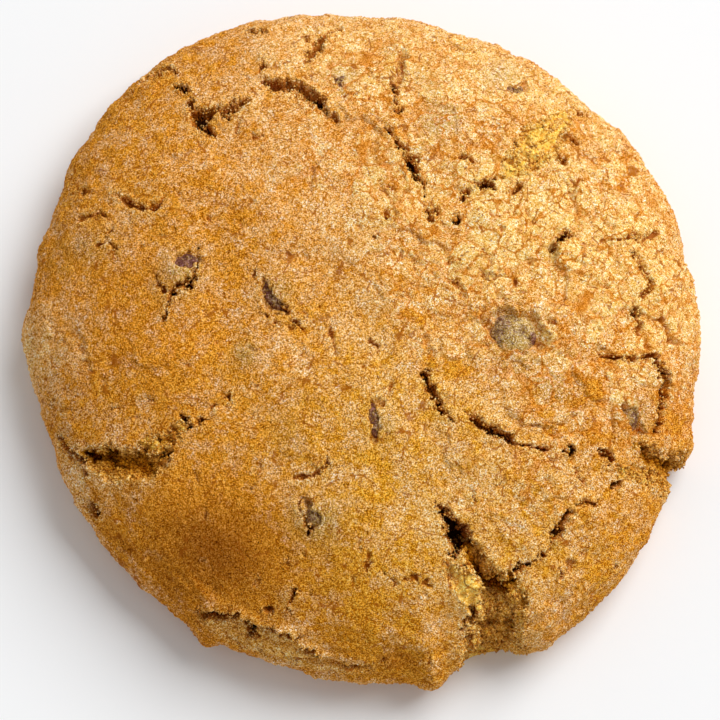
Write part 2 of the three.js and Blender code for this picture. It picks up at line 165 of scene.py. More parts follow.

# Cracks that cut into the crust; their walls and the bottoms of the deepest get painted shade.
SLOTS = {
    "north west hook": Crack(
        ((-23.8, 31.3, 0.4), (-22.8, 31.5, 0.6), (-21.9, 30.8, 0.9), (-21.4, 29.7, 0.5))),
    "north west elbow": Crack(
        ((-21.4, 29.4, 1), (-21, 28.2, 1.2), (-20.5, 27, 1.8), (-20, 25.9, 1.5), (-19.1, 24.9, 0.9),
         (-17.7, 24.1, 0.5)), 1.8),
    "north west elbow core": Crack(((-20.8, 27.3, 0.6), (-20.1, 26.1, 1), (-19.5, 25.2, 0.6)), 3.4),
    "north west arm": Crack(
        ((-20.3, 27.2, 0.9), (-19, 27.2, 1.1), (-17.7, 27.4, 1.2), (-16.5, 27.7, 1.2), (-15.4, 28, 1.2),
         (-14.4, 28.6, 1.1), (-13.6, 29.3, 0.6)), 1.9),
    "north west rim": Crack(
        ((-27.9, 32.9, 0.8), (-26.5, 33.7, 1), (-25.1, 34, 1.1), (-23.6, 34, 1), (-23.1, 33.4, 0.6)),
        1.3),
    "north west lump": Crack(((-17.1, 26.9, 0.9), (-16.3, 26.4, 0.8))),
    "north crack": Crack(
        ((-12.4, 31.1, 0.6), (-11.1, 30.8, 1.2), (-9.8, 30.7, 1.4), (-8.4, 30.6, 1.6), (-7.4, 29.8, 1.6),
         (-6.5, 29, 1.6), (-5.6, 28.4, 1.5), (-4.9, 27.8, 1), (-4.1, 27.1, 0.6), (-3, 26.4, 0.5),
         (-2.8, 25.6, 0.3)), 1.7, step=0.4),
    "north crack core": Crack(
        ((-7.2, 29.7, 0.6), (-6.4, 29, 1), (-5.5, 28.6, 1.1), (-4.9, 27.9, 0.7)), 3.4),
    "north slot": Crack(
        ((4, 32, 0.4), (4.1, 30.6, 0.7), (4.4, 29.2, 0.8), (4.7, 27.9, 0.8), (4.8, 26.6, 0.4)), 2),
    "north rim": Crack(((-15, 40.2, 0.5), (-13.8, 39.8, 0.9), (-12.6, 39.3, 1), (-11.4, 39, 0.6)), 1.3),
    "north left tick": Crack(
        ((-13, 35.3, 0.4), (-12.3, 34.5, 0.6), (-12.2, 33.5, 0.6), (-12.9, 32.7, 0.5)), 1.3),
    "north step": Crack(
        ((-7.8, 34.1, 0.5), (-6.9, 34.8, 0.8), (-6, 35.9, 1), (-5.3, 37.4, 1), (-4.4, 38.6, 1),
         (-3.4, 39.3, 0.8), (-2.5, 40.1, 0.5)), 1, step=-0.4),
    "north step tick": Crack(((-9.9, 33.2, 0.4), (-9.2, 33.6, 0.6), (-8.5, 34.1, 0.3)), 1.2),
    "north step pits": Crack(((-7.2, 38.4, 0.5), (-6.6, 37.7, 0.9), (-6.1, 37.3, 0.5)), 1),
    "north valley": Crack(
        ((3.2, 25.6, 0.4), (3.6, 24.1, 0.6), (4.3, 22.7, 0.8), (5.3, 21.3, 0.9), (6.2, 19.9, 1.1),
         (7.1, 18.3, 0.9), (7.7, 16.5, 0.7), (7.8, 15.3, 0.4)), 2.6),
    "north valley wall": Crack(((5.5, 21.6, 1.1), (6.3, 20.5, 1.2), (7.3, 19.2, 0.8)), 1.2),
    "north valley end": Crack(((7.8, 14.7, 0.6), (8.4, 13.4, 0.8), (9, 12.1, 0.5)), 2),
    "pocket": Crack(
        ((13.8, 17.8, 0.7), (14.5, 17.4, 0.9), (15.5, 17.3, 0.9), (16.5, 17.3, 0.9), (17.2, 17.8, 0.5)),
        2),
    "pocket east": Crack(((18.8, 16.4, 0.8), (19.3, 16.9, 1), (20, 17.5, 0.7)), 1.7),
    "pocket west": Crack(((12.4, 15.1, 0.6), (12.9, 15.6, 0.9), (13.5, 16.4, 0.7)), 1.4),
    "pocket low": Crack(((11.8, 12.4, 0.8), (12.5, 12.7, 0.6)), 2.4),
    "pocket line": Crack(((11.9, 20.4, 0.4), (12.7, 20.3, 0.5), (13.5, 20.1, 0.4), (14.3, 20, 0.3)), 1.6),
    "east nick": Crack(
        ((23.2, 8, 0.4), (23.5, 9.3, 0.4), (24.6, 10.3, 0.5), (25.4, 11, 0.9), (26.5, 10.8, 0.4)), 2),
    "east groove": Crack(
        ((33, 9.7, 0.6), (34.2, 8.8, 0.9), (35.3, 7.4, 1), (35.8, 5.6, 0.8), (34.6, 3.4, 0.5)), 1),
    "north east groove": Crack(
        ((25.9, 29.5, 0.6), (26.9, 29.1, 0.9), (27.9, 28.6, 1), (28.9, 28.1, 0.7)), 1.1),
    "north east pit": Crack(((24.3, 22.4, 0.7), (24.8, 21.6, 1.2), (25.2, 20.8, 0.7)), 1.1),
    "north east pit high": Crack(((26.1, 25, 0.7), (26.6, 24.3, 1), (26.9, 23.7, 0.6)), 1),
    "north east pit inner": Crack(((23.2, 27, 0.5), (23.8, 26.6, 0.7), (24.4, 26.4, 0.5)), 0.9),
    "east rim line": Crack(
        ((31.1, 10.9, 0.5), (32.4, 11.1, 0.8), (33.7, 11.6, 0.8), (34.7, 11.5, 0.7), (36.3, 12.4, 0.6),
         (37.4, 12.7, 0.4)), 1),
    "east groove low": Crack(
        ((33.7, 3.1, 0.5), (33.9, 1.7, 0.8), (34.5, 0.5, 0.6), (34.1, -0.9, 0.5)), 1.6),
    "east ledge": Crack(
        ((29.5, -3.7, 0.4), (30.9, -4.2, 0.5), (33.2, -4.1, 0.5), (35.1, -3.8, 0.8), (36.5, -3.7, 0.6)),
        1.4),
    "east rim groove": Crack(
        ((36.3, -3.8, 0.8), (37, -5.2, 1.5), (37.4, -6.7, 1.6), (37.3, -8.4, 1), (37.2, -10.2, 0.8),
         (37, -11.8, 0.9), (36.3, -13.6, 0.7)), 2.2),
    "middle crack": Crack(
        ((7.7, -6.9, 0.6), (8.2, -8.3, 0.9), (8.8, -9.5, 0.9), (9.4, -11, 0.8), (10, -12.3, 0.6),
         (11.2, -13.5, 0.4)), 2.2),
    "south east crack": Crack(
        ((13, -12, 0.6), (14, -12.7, 1), (15.1, -13.6, 0.9), (16.2, -14.2, 1.1), (17.3, -14.6, 0.8),
         (18.5, -15.4, 0.9), (19.5, -15.9, 0.5), (20.7, -16.1, 0.5), (21.8, -16.4, 0.7),
         (23.3, -16.7, 0.4)), 2),
    "south east core": Crack(((15.4, -13.8, 0.6), (16.2, -14.2, 1.2), (17.1, -14.5, 0.6)), 3.4),
    "south east end": Crack(((24.6, -16.3, 0.5), (25.3, -16.3, 1.1), (26, -16.5, 0.6))),
    "south east link": Crack(
        ((29, -16.4, 0.5), (30, -16.5, 0.8), (30.9, -16.9, 0.5), (31.6, -17.5, 0.4)), 1.6),
    "arc foot": Crack(
        ((18.4, -31, 0.5), (19, -30.6, 1), (19.8, -30.1, 1), (20.6, -29.7, 0.6)), step=-0.3),
    "arc beads": Crack(
        ((20.8, -29.6, 0.4), (21.5, -29.1, 0.6), (22.2, -28.4, 0.6), (22.8, -27.6, 0.4)), 2, beads=0.3),
    "arc middle": Crack(
        ((22.9, -27.6, 0.5), (23.7, -26.6, 0.8), (24.2, -25.5, 0.6), (24.7, -24.5, 0.8),
         (25.5, -23.6, 0.8), (26.3, -23.1, 0.5)), 2.2, step=-0.3),
    "arc top": Crack(((26.2, -22.9, 0.6), (27.4, -22.3, 0.7), (28.9, -22.1, 0.5)), 1.8),
    "arc end": Crack(((30.8, -20.2, 0.9), (31.4, -19.7, 0.8), (32.1, -18.9, 0.5)), 2),
    "south crack": Crack(
        ((8.7, -22.4, 0.5), (9.4, -23.4, 0.8), (10.2, -24.2, 0.9), (10.9, -24.9, 1)), 2.2),
    "south hole": Crack(
        ((10.9, -25.1, 1.5), (11.5, -26, 2.5), (11.8, -27, 2.9), (11.7, -28, 2.1)),
        5, beads=0, blunt=True),
    "south hole low": Crack(((11.2, -28.8, 0.8), (11.6, -29.3, 1), (11.9, -29.8, 0.6)), 3.2),
    "south hollow floor": Crack(
        ((15.2, -32.6, 0.7), (16, -32.9, 1.4), (17, -32.8, 1.4), (18, -32.4, 0.8)), 1.9),
    "south slit": Crack(
        ((15.6, -34.6, 0.6), (14.7, -35.5, 0.9), (13.7, -36.3, 0.9), (12.6, -37, 0.8),
         (11.6, -37.5, 0.5)), 2),
    "south floor crack": Crack(
        ((14, -36.6, 0.4), (15.3, -36.1, 0.6), (16.5, -36.3, 0.6), (17.6, -36.6, 0.4)), 1.6),
    "south floor crack east": Crack(
        ((17, -36, 0.4), (18.2, -36.3, 0.8), (19.1, -37, 0.9), (19, -37.9, 0.6)), 1.6),
    "south floor crack low": Crack(((13.8, -38.1, 0.4), (15.1, -37.8, 0.6), (16.3, -38.4, 0.5)), 1.4),
    "south east tick": Crack(((13.3, -20.7, 0.3), (13.6, -22, 0.45), (13.7, -23.3, 0.3)), 1),
    "wedge tick": Crack(((24, -31.5, 0.5), (24.3, -30.6, 0.6)), 1.2),
    "west rim": Crack(
        ((-37.6, -12.4, 0.8), (-36.8, -13.8, 0.9), (-36, -14.9, 1.1), (-35, -15.8, 1.2),
         (-33.9, -16.4, 1)), 2),
    "west rim low": Crack(((-34.2, -16.9, 0.5), (-33.9, -18.1, 0.6), (-33.8, -19.5, 0.4)), 1.2),
    "west floor pit": Crack(((-32, -15.8, 0.6), (-31.7, -16.5, 0.9), (-31.5, -17.3, 0.6)), 2.4),
    "west floor pit east": Crack(((-28.7, -17.4, 0.6), (-28.2, -17.7, 1), (-27.7, -18, 0.6)), 2.4),
    "west link": Crack(
        ((-26.1, -17.8, 0.6), (-25.2, -17.6, 0.9), (-24.2, -17.3, 0.9), (-23.3, -16.8, 0.8),
         (-22.7, -16.3, 0.4))),
    "west bead 1": Crack(((-27, -15.2, 0.6), (-26.3, -15.8, 1.1), (-25.6, -16.3, 0.6)), 1.6),
    "west bead inner": Crack(((-25.2, -14.7, 0.8), (-24.8, -15.5, 0.8)), 1.6),
    "west bead 2": Crack(((-23.4, -14.7, 0.6), (-23, -15.1, 1), (-22.5, -15.5, 0.6)), 2.8),
    "west bead 3": Crack(((-22, -12.1, 0.7), (-21.5, -13, 1.2), (-21.2, -14.1, 1)), 2),
    "west bead 4": Crack(((-19.7, -12.6, 0.5), (-19.2, -12.8, 0.8), (-18.7, -12.6, 0.4)), 2),
    "west bead 5": Crack(((-18.6, -11.8, 0.6), (-18.1, -11, 0.8)), 2),
    "west bead 6": Crack(
        ((-17, -9.3, 0.2), (-16.5, -9.7, 0.4), (-15.9, -10, 0.6), (-16, -10.7, 0.4), (-16.5, -11, 0.4)),
        1.2),
    "south west pit": Crack(
        ((-33.4, -21, 0.6), (-32.9, -21.6, 1.1), (-32.9, -22.4, 1.1), (-32.8, -23.2, 0.6)), 2.2),
    "rim ledge": Crack(
        ((-20.1, -34, 0.6), (-19.4, -34.9, 1.2), (-18.7, -35.5, 1.1), (-17.8, -35.8, 1.1),
         (-16.8, -35.9, 1), (-15.9, -35.8, 0.9), (-14.9, -35.9, 0.9), (-13.9, -36.4, 0.7),
         (-13, -36.8, 0.6), (-11.7, -37.3, 0.6), (-10.3, -37.8, 0.6), (-8.7, -38.2, 0.5),
         (-7.2, -38.7, 0.4)), 1.8, beads=0.1, step=0.4),
    "rim hole": Crack(((-19.6, -34.6, 0.9), (-19.2, -35.2, 1.3), (-18.7, -35.6, 0.9)), 2.8),
    "rim pit": Crack(((-12.8, -37.2, 0.9), (-13.3, -37.8, 1.6), (-13.9, -38.4, 1)), 2.8),
    "rim ledge low": Crack(
        ((-7.7, -39.6, 0.5), (-6.8, -39.8, 0.9), (-6, -40, 0.9), (-4.9, -40.4, 0.7), (-3.8, -40.7, 0.6)),
        1.8, beads=0.1, step=0.3),
    "rim line low": Crack(
        ((-3.6, -41.3, 0.4), (-2.3, -41.5, 0.5), (-1.1, -41.7, 0.5), (0.1, -41.7, 0.4),
         (1.8, -41.8, 0.4)), 1.0),
    "rim line east": Crack(((2.2, -41.3, 0.5), (3.3, -41, 0.5), (4.3, -40.7, 0.4)), 0.9),
    "rim wall line": Crack(((-11.4, -39.2, 0.4), (-9.6, -39.8, 0.4), (-7.9, -40.8, 0.4)), 0.7),
    "rim wall pit": Crack(((-12.5, -39.2, 0.5), (-12.2, -39.6, 0.6)), 1.2),
    "south lip pit": Crack(((8.2, -40.8, 0.5), (8.5, -41.5, 0.8)), 1.2),
    "low crack": Crack(
        ((-7.2, -33.2, 0.3), (-8.2, -33.4, 0.4), (-8.5, -34.1, 0.5), (-8.9, -34.9, 0.5),
         (-8.8, -35.9, 0.4)), 2),
    "low pit": Crack(((-11.6, -34.8, 0.4), (-11.5, -35.3, 0.8), (-11.6, -35.7, 0.5)), 1.3),
    "low line": Crack(((0.9, -28.8, 0.3), (0.7, -30.4, 0.3), (1.1, -31.9, 0.35)), 0.6),
    "low fork": Crack(((2.1, -30.9, 0.2), (3.3, -31.8, 0.3), (3.9, -32.8, 0.35), (2.9, -33.6, 0.2)), 0.6),
    "low bow": Crack(((4.7, -32.1, 0.3), (6.3, -31.7, 0.4), (7.8, -32.1, 0.4), (9.1, -32.8, 0.3)), 0.7),
    "centre hook": Crack(
        ((-8.4, -20.1, 0.2), (-7.4, -20.2, 0.5), (-6.2, -19.9, 0.4), (-4.5, -19.3, 0.4), (-4, -18.1, 0.4),
         (-3.8, -16.6, 0.4)), 0.9),
    "west chip crack": Crack(
        ((-20.1, 8.7, 0.4), (-20.1, 7.2, 0.5), (-20.4, 6, 0.6), (-20.8, 5, 0.9), (-21.5, 4.4, 1.3),
         (-22.4, 4.3, 0.9), (-23, 3.7, 0.6), (-23.4, 2.6, 0.4), (-23.7, 1.2, 0.3), (-24.3, -0.7, 0.3)),
        2.4),
    "west chip brow": Crack(((-25.3, 5.7, 0.4), (-24.8, 4.6, 0.5), (-23.8, 3.6, 0.4)), 0.8),
    "midwest chip end": Crack(((-10, 0.9, 0.8), (-9.4, 0.4, 0.5)), 2.2),
    "midwest chip crack": Crack(((-8.9, -0.1, 0.4), (-7.8, -0.7, 0.6), (-7, -1.6, 0.4)), 1),
    "midwest chip tail": Crack(((-12.1, 0.3, 0.25), (-10.7, -0.5, 0.3), (-9.8, -1.2, 0.25)), 0.6),
    "midwest chip brow": Crack(((-13.1, 4.9, 0.4), (-12.3, 5.9, 0.5)), 0.8),
    "south chip crack": Crack(((-7.2, -22.2, 0.3), (-7.3, -23.6, 0.3), (-7, -24.8, 0.5)), 1.2),
    "south chip pits": Crack(
        ((-7, -24.6, 0.5), (-6.9, -25.5, 0.6), (-6.6, -26.2, 0.6), (-6.7, -26.9, 0.3)), 2.4),
    "north chip pits": Crack(((-3.8, 32, 0.4), (-3.1, 31.4, 0.4)), 0.9),
    "north dots": Crack(((-1.9, 28.9, 0.4), (-0.6, 29.1, 0.4)), 1),
    "north dot": Crack(((1.1, 29, 0.4), (1.5, 29.3, 0.4)), 1),
    "tick": Crack(((3.5, 13.9, 0.6), (3.2, 13.1, 0.8), (2.8, 12.3, 0.5)), 0.8),
    "tick low": Crack(((2, 10.6, 0.5), (1.6, 9.9, 0.5)), 0.8),
    "far west line": Crack(
        ((-32, 17.2), (-30.9, 17.1), (-29.9, 16.4), (-28.6, 15), (-27.1, 14.3), (-25.9, 14.5),
         (-24.2, 16.2)), 1.1, 0.5, 0.6),
    "far west dash": Crack(((-36.8, 18.4), (-35.3, 18.5), (-34, 17.8)), 0.8, 0.6),
    "far west dash low": Crack(((-35.4, 14.3), (-33.6, 14.5), (-31.7, 14.1)), 1, 0.6),
    "far west tick": Crack(((-31.8, 11.5), (-30.9, 12.2), (-30, 12.7)), 0.8, 0.4),
    "far west tick low": Crack(((-33.4, 9.7), (-32.4, 10.1), (-31.3, 10), (-30.3, 8.5)), 0.8, 0.4),
    "centre dash": Crack(((1, -2.9), (2.4, -4)), 0.8, 0.6),
}

# Thin lines and shallow valleys in the crust.
LINES = {
    "north rim east": Crack(
        ((10.1, 37.5, 0.6), (11.5, 37.2, 0.5), (12.9, 36.5, 0.8), (14.8, 36, 0.5)), 0.7),
    "north valley head": Crack(((5, 36, 0.6), (4.8, 34.2, 1), (4.6, 32.4, 1.2), (4.4, 30.7, 0.9)), 1),
    "north west spot": Crack(((-13.8, 24.2, 0.4), (-13.1, 23.6, 0.8), (-12.2, 23.1, 0.5)), 0.7),
    "north west tick": Crack(((-15.6, 25.5, 0.4), (-15.8, 24.4, 0.5)), 0.6),
    "middle groove": Crack(((10.6, 4.7, 0.5), (11.7, 4.1, 0.8), (12.4, 2.6, 0.6)), 0.9),
    "middle dash": Crack(((10.2, 6.8, 0.3), (11.4, 7.6, 0.4), (12.7, 8.1, 0.4)), 0.8),
    "middle dash east": Crack(((14.6, 5.6, 0.4), (15.7, 5.2, 0.5), (16.7, 5.6, 0.4)), 0.8),
    "middle tick": Crack(((20.6, 7.2, 0.4), (21.6, 7.5, 0.4)), 0.7),
    "east line": Crack(
        ((26.8, 10.4, 0.4), (28.3, 9.9, 0.5), (31.1, 11.1, 0.4), (32.8, 11.2, 0.5), (35.4, 12.1, 0.6)),
        0.6),
    "east branch": Crack(((29.5, 13.8), (30.9, 12.7), (31.4, 11.3)), 0.4, 0.4),
    "east dots": Crack(((20.4, 14.1), (21, 12.6), (21.6, 11.2)), 0.7, 0.3, 1.0),
    "east dash": Crack(((22.5, -0.8), (23.5, -0.5)), 0.7, 0.4),
    "south east branch": Crack(((25.8, -17.3), (26.3, -18.5), (26.9, -19.5), (28.2, -20.6)), 0.7, 0.4),
    "wedge line": Crack(((24.3, -30.6), (25, -30.4), (25.9, -29.1), (27.8, -27.7)), 0.6, 0.4),
    "wedge rim": Crack(((31.5, -28.2), (31.6, -29.8)), 0.6, 0.6),
    "middle valley": Crack(((7.6, -2.2), (7.9, -4), (8.4, -6.2)), 0.5, 0.9),
    "middle slope": Crack(((5.6, 8), (7.4, 6.3)), 0.5, 0.7),
    "centre line": Crack(((1.7, 4), (3, 1.6)), 0.4, 0.5),
    "centre tick": Crack(((3.3, -9.7), (3.8, -8.5)), 0.6, 0.5),
    "low tick": Crack(((-9.2, -29), (-9, -30.3)), 0.5, 0.4),
    "west tick": Crack(((-38.9, -8), (-37.5, -8.3)), 0.6, 0.5),
    "west tick low": Crack(((-37.3, -9.6), (-35.8, -9.6)), 0.5, 0.4),
    "west valley": Crack(((-35.4, 0), (-34.5, -3), (-33.3, -5.7)), 0.35, 0.9),
    "west dash": Crack(((-28.8, 13.1), (-28, 12.3)), 0.6, 0.4),
    "west dash east": Crack(((-25.6, 10.5), (-23.9, 10.6)), 0.5, 0.3),
    "inner west": Crack(((-8.9, 14.2), (-7.9, 15.2), (-7.4, 16.1)), 0.6, 0.4, 0.9),
    "inner centre": Crack(((-3.7, -1), (-3.7, -2.4), (-2.9, -4.5)), 0.6, 0.4, 0.9),
}

# Bearing where the side shows its layers most, and how far round they show, in radians.
LAYER_BEARING = -1.9
LAYER_SPREAD = 0.7

# Small pits and short hair cracks strewn over the crust by a seeded draw, out to a reach.
PIT_COUNT = 170
PIT_REACH = 39
PIT_LENGTH = (0.3, 1.2)
PIT_WIDTH = (0.2, 0.42)
PIT_DEPTH = (0.25, 0.6)
PIT_SEED = 11


class Chip(NamedTuple):
    """A chip that shows: place in mm, length, width, height, bearing in degrees, share under dust, window.

    The window is the path of a blunt crack. Clean lists soft spots with less dust: place, radius and amount.
    Cover is how far its top lies under the crust.
    """

    place: tuple
    length: float
    width: float
    height: float
    bearing: float
    dust: float
    window: tuple
    clean: tuple = ()
    cover: float = 0.12


# How deep the windows in the crust over the chips are.
WINDOW_DEPTH = 1.0

# The chips that show, named by their place on the cookie.
CHIPS = {
    "west": Chip(
        (-21.5, 7.5), 5.4, 4.0, 4.5, 60, 0.15, ((-22.2, 7.5, 1.4), (-21.3, 7.6, 2), (-20.5, 7.8, 1.8))),
    "midwest": Chip(
        (-11.2, 2.6), 5.6, 2.8, 4.0, -55, 0.3,
        ((-11.7, 4, 0.9), (-11.9, 3, 1.2), (-11.4, 2, 1.2), (-10.4, 1.2, 1.2), (-9.6, 0.7, 1))),
    "east": Chip(
        (18.8, -2), 7.2, 6.8, 5.0, 20, 0.88, ((17.5, -1.3, 4.4), (20.2, -2, 4.6)),
        (((17.3, -0.9), 1.4, 0.45), ((21.4, -2.6), 0.9, 0.7), ((16.3, -3.2), 0.8, 0.6),
         ((18.8, -3.2), 1.2, -0.2)), -0.15),
    "centre": Chip(
        (1.5, -13), 5.6, 2.6, 4.5, 95, 0.3,
        ((2.1, -10.8, 0.6), (1.3, -11.5, 0.9), (1.2, -12.7, 1), (1.6, -14, 1.2), (1.6, -15.2, 1))),
    "south": Chip(
        (-5.7, -24.5), 4.4, 3.4, 4.0, 70, 0.6, ((-6.1, -23.6, 0.9), (-6, -24.6, 1.1), (-5.6, -25.5, 0.9))),
    "far_east": Chip(
        (33.5, -11.4), 4.5, 4.0, 4.0, 60, 0.5,
        ((32.6, -10.3, 1), (33.1, -11.3, 1.1), (33.7, -12.3, 1.2), (34.5, -12.9, 1))),
    "northeast": Chip(
        (19.5, 31.6), 3.4, 2.6, 3.0, 20, 0.45,
        ((18.5, 31.2, 0.7), (19.4, 31.2, 0.9), (20.1, 31.5, 0.9), (20.4, 32.5, 0.7))),
    "north": Chip(
        (-2.5, 31.6), 3.4, 2.8, 3.0, 0, 0.4, ((-3.1, 31.9, 0.9), (-2.6, 31.3, 1), (-2.1, 30.5, 0.7))),
}

# How much narrower a chip is at its foot, and the columns and rows of its points.
CHIP_TAPER = 0.3
CHIP_GRID = (72, 36)

# Sizes of the crust's grains, and of the plates that it flakes into, large and small.
GRAIN_SIZE = 0.55
PLATE_SIZES = (6.0, 2.6)

# Noise that bends the plates' seams: size, amount and seed.
PLATE_BENDS = ((5, 1.6, 31), (1.6, 0.9, 33), (0.7, 0.35, 35))

# Sizes of the clumps of crumb in the tears, large and small.
CLUMP_SIZES = (1.7, 0.8)

# Rings of the flat foot as shares of the rim, and how browned the foot is.
FOOT_RINGS = (0.97, 0.8, 0.4)
FOOT_BROWNING = 0.5

# Loose grains: the seed of their draw, their radii, larger where the crust is torn, and their least height.
CRUMB_SEED = 29
CRUMB_RADII = (0.07, 0.18)
CRUMB_LOW = 1.2

# A loose grain is an octahedron: its corners and its faces.
GRAIN_CORNERS = ((1, 0, 0), (-1, 0, 0), (0, 1, 0), (0, -1, 0), (0, 0, 1), (0, 0, -1))
GRAIN_FACES = ((0, 2, 4), (2, 1, 4), (1, 3, 4), (3, 0, 4), (2, 0, 5), (1, 2, 5), (3, 1, 5), (0, 3, 5))

# Powers that turn a grain's shade, with any painted shade of tear floors, into red, green and blue, and
# scales that keep the mean colour.
WARMTH = ((0.9, 1.01), (1.45, 0.965), (4.0, 0.43))

# Half the floor's side, the lamp's bearing and height in degrees, and the camera's sensor width.
FLOOR_HALF = 2000
LAMP_BEARING = 42
LAMP_ELEVATION = 46
SENSOR_WIDTH = 36

# The point that the camera looks at, and how far the picture's middle lies below it.
AIM_POINT = (-0.125, 0, 8.0)
AIM_DROP = 2.8

# Soft patches of browning: place, radius and amount.
BROWNING = (
    ((-18.8, -27.8), 6, 0.68),
    ((-13.5, -29.5), 5.5, 0.32),
    ((-25, -24), 6, 0.1),
    ((-5, -33), 9, 0.12),
    ((-29, 1), 11, 0.1),
)

# Soft patches of pale crust in the same way. Three of them are painted light where the crust lies in shade.
PALENESS_AND_LIGHT = (
    ((16, 32), 12, 0.75),
    ((31, 14), 12, 0.85),
    ((-1, 34), 8, 0.55),
    ((36, -2), 10, 0.6),
    ((6, 8), 14, 0.45),
    ((17, 12), 9, 0.5),
    ((4, 17), 7, 0.35),
    ((23, 5), 9, 0.4),
    ((32, -6), 6, 0.2),
    ((20, -20), 12, 0.2),
    ((10, -25), 7, 0.25),
    # Painted light on the steep side of the south-east wedge.
    ((22, -35), 6, 0.2),
    ((-9, 23), 8, 0.3),
    ((-8, -22), 5, 0.25),
    ((22, -6), 7, 0.1),
    # Painted light on the ridge beside the south split.
    ((12.5, -34.5), 3.5, 0.5),
    ((-34, -19), 5, 0.3),
    # Painted light on the side below the south-west ledge.
    ((-10, -39.5), 6, 0.25),
    ((-8, 39), 8, 0.3),
    ((5, 39), 7, 0.2),
    ((-26, -32), 5, 0.3),
    ((25, 32), 5, 0.25),
    ((34, 27), 6, 0.25),
    ((41, 3), 5, 0.3),
    ((-41, -2), 6, 0.65),
)

# Soft patches of yellower crust.
BUTTER = (
    ((6, -10), 16, 0.6),
    ((20, -26), 12, 0.5),
    ((2, -30), 12, 0.4),
)

# Where the crust flakes: place, radius and amount.
FLAKING = (
    ((27, 12), 14, 1.0),
    ((18, 24), 11, 0.6),
    ((12, 4), 10, 0.6),
    ((22, -14), 13, 0.55),
    ((34, -6), 10, 0.6),
    ((0, 33), 9, 0.5),
    ((4, 18), 8, 0.4),
    ((-12, 24), 9, 0.3),
)

# Greyish stains where a chip lies close under the crust: place, radius and strength.
STAINS = (
    ((-22, 6.1), 2.6, 1.0),
    ((-9.9, 3.4), 2.6, 0.7),
    ((-13.9, -4.6), 1.8, 0.9),
    ((18.8, -2.1), 3.4, 1.0),
    ((3, -13.5), 2.2, 0.6),
    ((-5, -25), 2.8, 0.9),
    ((33.7, -11.2), 2.4, 1.0),
    ((17.6, 33), 2.4, 0.8),
    ((-2.4, 32.2), 2.0, 0.8),
    ((10.3, 25.6), 2.2, 1.0),
    ((23.5, -8.4), 3.2, 0.6),
    ((-8.6, -14.2), 3.0, 0.35),
    ((-33.7, 10.6), 3.4, 0.4),
)


def srgb(red, green, blue):
    """The linear colour of a display colour from 0 to 255."""
    share = np.array((red, green, blue)) / 255
    linear = np.where(share <= 0.04045, share / 12.92, ((share + 0.055) / 1.055) ** 2.4)
    return tuple(float(value) for value in linear)


def smooth_step(low, high, value):
    """0 below low, 1 above high and a smooth S between them. Low may be the greater."""
    share = np.clip((value - low) / (high - low), 0, 1)
    return share * share * (3 - 2 * share)


def lattice(column, row, layer, seed):
    """Repeatable random numbers from 0 to 1 at whole-number places: the fraction of a large sine."""
    turned = np.sin(column * 127.1 + row * 311.7 + layer * 191.3 + seed * 74.7) * 43758.5453
    return turned - np.floor(turned)


def wave_noise(x, y, seed):
    """Smooth noise from -1 to 1 on the plan: lattice values, one for each unit, blended by an S-curve."""
    column, row = np.floor(x), np.floor(y)
    across = smooth_step(0, 1, x - column)
    along = smooth_step(0, 1, y - row)
    near = lattice(column, row, 0, seed) * (1 - across) + lattice(column + 1, row, 0, seed) * across
    far = lattice(column, row + 1, 0, seed) * (1 - across) + lattice(column + 1, row + 1, 0, seed) * across
    return 2 * (near * (1 - along) + far * along) - 1


def lump_noise(points, size, seed):
    """Smooth noise from -1 to 1 in space: lattice values at the corners of cubes of a size, blended."""
    place = points / size
    corner = np.floor(place)
    share = smooth_step(0, 1, place - corner)
    total = np.zeros(len(points))
    for right in (0, 1):
        for far in (0, 1):
            for top in (0, 1):
                value = lattice(corner[:, 0] + right, corner[:, 1] + far, corner[:, 2] + top, seed)
                away = np.abs(1 - np.array((right, far, top)) - share)
                total += value * (away[:, 0] * away[:, 1] * away[:, 2])
    return 2 * total - 1


def plates(points, size, seed):
    """Distance in mm to the seam between two plates, a value from -1 to 1 for each plate, and its tilt in mm.

    A plate is the part of the plan that is nearest to one of a grid of jittered points. The seam's distance
    is the second nearest point's distance less the nearest one's. The tilt rises across the plate in its own
    direction.
    """
    place = points[:, :2] / size
    cell = np.floor(place)
    nearest = np.full(len(points), 9.0)
    second = np.full(len(points), 9.0)
    tone = np.zeros(len(points))
    tilt = np.zeros(len(points))
    for right in (-1, 0, 1):
        for far in (-1, 0, 1):
            column, row = cell[:, 0] + right, cell[:, 1] + far
            offset_x = column + lattice(column, row, 1, seed) - place[:, 0]
            offset_y = row + lattice(column, row, 2, seed) - place[:, 1]
            own = lattice(column, row, 3, seed)
            distance = np.hypot(offset_x, offset_y)
            closer = distance < nearest
            tone = np.where(closer, 2 * own - 1, tone)
            tilt = np.where(closer, offset_x * np.cos(40 * own) + offset_y * np.sin(40 * own), tilt)
            second = np.minimum(second, np.maximum(nearest, distance))
            nearest = np.minimum(nearest, distance)
    return (second - nearest) * size, tone, tilt * size


def wander(points, size, amount, seed):
    """Points pushed about on the plan by noise of a size, by about an amount."""
    east, north = (lump_noise(points, size, own) for own in (seed, seed + 13))
    return points + amount * np.stack([east, north, np.zeros(len(points))], axis=1)


def crumb_grains(points, size, seed):
    """Rounded grains of a size in space: 1 in the middle of each, 0 at the creases, and each grain's value.

    A grain is the space nearest to one of a grid of jittered points, and falls by the square of the distance
    to it.
    """
    place = points / size
    cell = np.floor(place)
    nearest = np.full(len(points), 9.0)
    tone = np.zeros(len(points))
    for right in (-1, 0, 1):
        for far in (-1, 0, 1):
            for top in (-1, 0, 1):
                corner = cell + (right, far, top)
                jitter = [lattice(*corner.T, seed + axis) for axis in range(3)]
                squared = sum((corner[:, axis] + jitter[axis] - place[:, axis]) ** 2 for axis in range(3))
                tone = np.where(squared < nearest, jitter[0], tone)
                nearest = np.minimum(nearest, squared)
    return np.clip(1 - nearest / 0.6, 0, 1), tone


